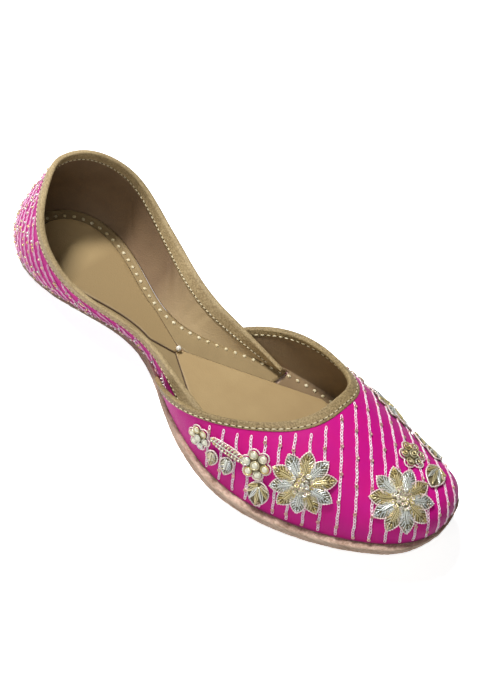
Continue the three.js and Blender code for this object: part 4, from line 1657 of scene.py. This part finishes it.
def vamp_stitch_inside(u):
    return vamp_stitch(u, WALL + BINDING_EXTRA + STITCH_LIFT_INSIDE)


def vamp_in(spot):
    return -vamp_out(spot)


def quarter_stitch(u, depth=-BINDING_EXTRA - STITCH_LIFT):
    s, side = round_shoe(u, WING_PLACE, 0)
    low = quarter_share(s, BINDING_WIDTH)
    return quarter_point(s, side, low + QUARTER_ROW * (1 - low), depth)


def quarter_stitch_inside(u):
    return quarter_stitch(u, WALL + BINDING_EXTRA + STITCH_LIFT_INSIDE)


def quarter_in(spot):
    return -quarter_out(spot)


running("vamp_binding_stitches", vamp_stitch, vamp_out,
        length=2.1, pitch=3.0, width=0.55, ends=(0.01, 0.99), tone=0.4)
running("vamp_binding_inner_stitches", vamp_stitch_inside, vamp_in,
        length=1.9, pitch=3.1, width=0.6, ends=(0.01, 0.99), tone=0.3)
running("quarter_binding_stitches", quarter_stitch, quarter_out,
        length=1.5, pitch=2.2, width=0.55, ends=(0.02, 0.98), tone=0.4)
running("quarter_binding_inner_stitches", quarter_stitch_inside, quarter_in,
        length=1.5, pitch=2.2, width=0.55, ends=(0.02, 0.98), tone=0.2)
needle_holes.made("needle_holes", needle_hole, "binding_leather")

# %% [markdown]
# The turned in lining is held down by single knots of cream thread. Each is two grains that cross,
# turned by chance, because no two knots tied by hand lie alike.

# %% Knots on the flange
FLANGE_ROW = 5.3
FLANGE_PITCH = 4.7
ROW_POINTS = 300
KNOT_LIFT = 0.15
KNOT_SIZE = (1.05, 0.7, 0.62)
flange_knots = Heap()
for side in (-1, 1):
    row = []
    for k in range(ROW_POINTS):
        x, y = inset_point(0.03 + 0.94 * k / (ROW_POINTS - 1), side, FLANGE_ROW)[:2]
        row.append(Vector((x, y, SEAT + FLANGE_THICKNESS + FLANGE_RAISE + spring_at(x) + KNOT_LIFT)))
    for n, spot in enumerate(evenly(row, FLANGE_PITCH)):
        for k in range(2):
            turn = 1.5 * k + 2 * lottery(n)
            lean = Vector((math.cos(turn), math.sin(turn), 0))
            set_down(flange_knots, BALL, spot, lean, Vector((0, 0, 1)), KNOT_SIZE, lottery(n + k))
flange_knots.made("flange_knots", cream_thread, "cotton_thread")

# %% [markdown]
# One cotton knot joins the two socks at the shank. It is a ball of yarn: four loops round a core. The
# loops stand for the knot's solid.

# %% Knot at the shank
LOOPS = 4
LOOP_CORNERS = 14
LOOP_RADIUS = 1.05
YARN = 0.42
CORE = 1.1
knot = Heap()
knot_low, knot_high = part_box("waist_knot")
middle = (knot_low + knot_high) / 2 / MM
for k in range(LOOPS):
    t = math.pi * k / LOOPS
    lean = Vector((math.cos(t), math.sin(t), 0.5)).normalized()
    other = lean.cross(Vector((0, 0, 1))).normalized()
    third = lean.cross(other)
    path = []
    for m in range(LOOP_CORNERS):
        a = 2 * math.pi * m / LOOP_CORNERS
        path.append(middle + (other * math.cos(a) + third * math.sin(a)) * LOOP_RADIUS)
    tube(knot, path, [YARN] * LOOP_CORNERS, 6, lottery(k), closed=True, start_out=lean)
set_down(knot, SMOOTH_BALL, middle, Vector((1, 0, 0)), Vector((0, 0, 1)), (CORE, CORE, CORE), 0.5)
knot.made("waist_knot_loops", knot_cotton, "cotton_thread", "waist_knot")
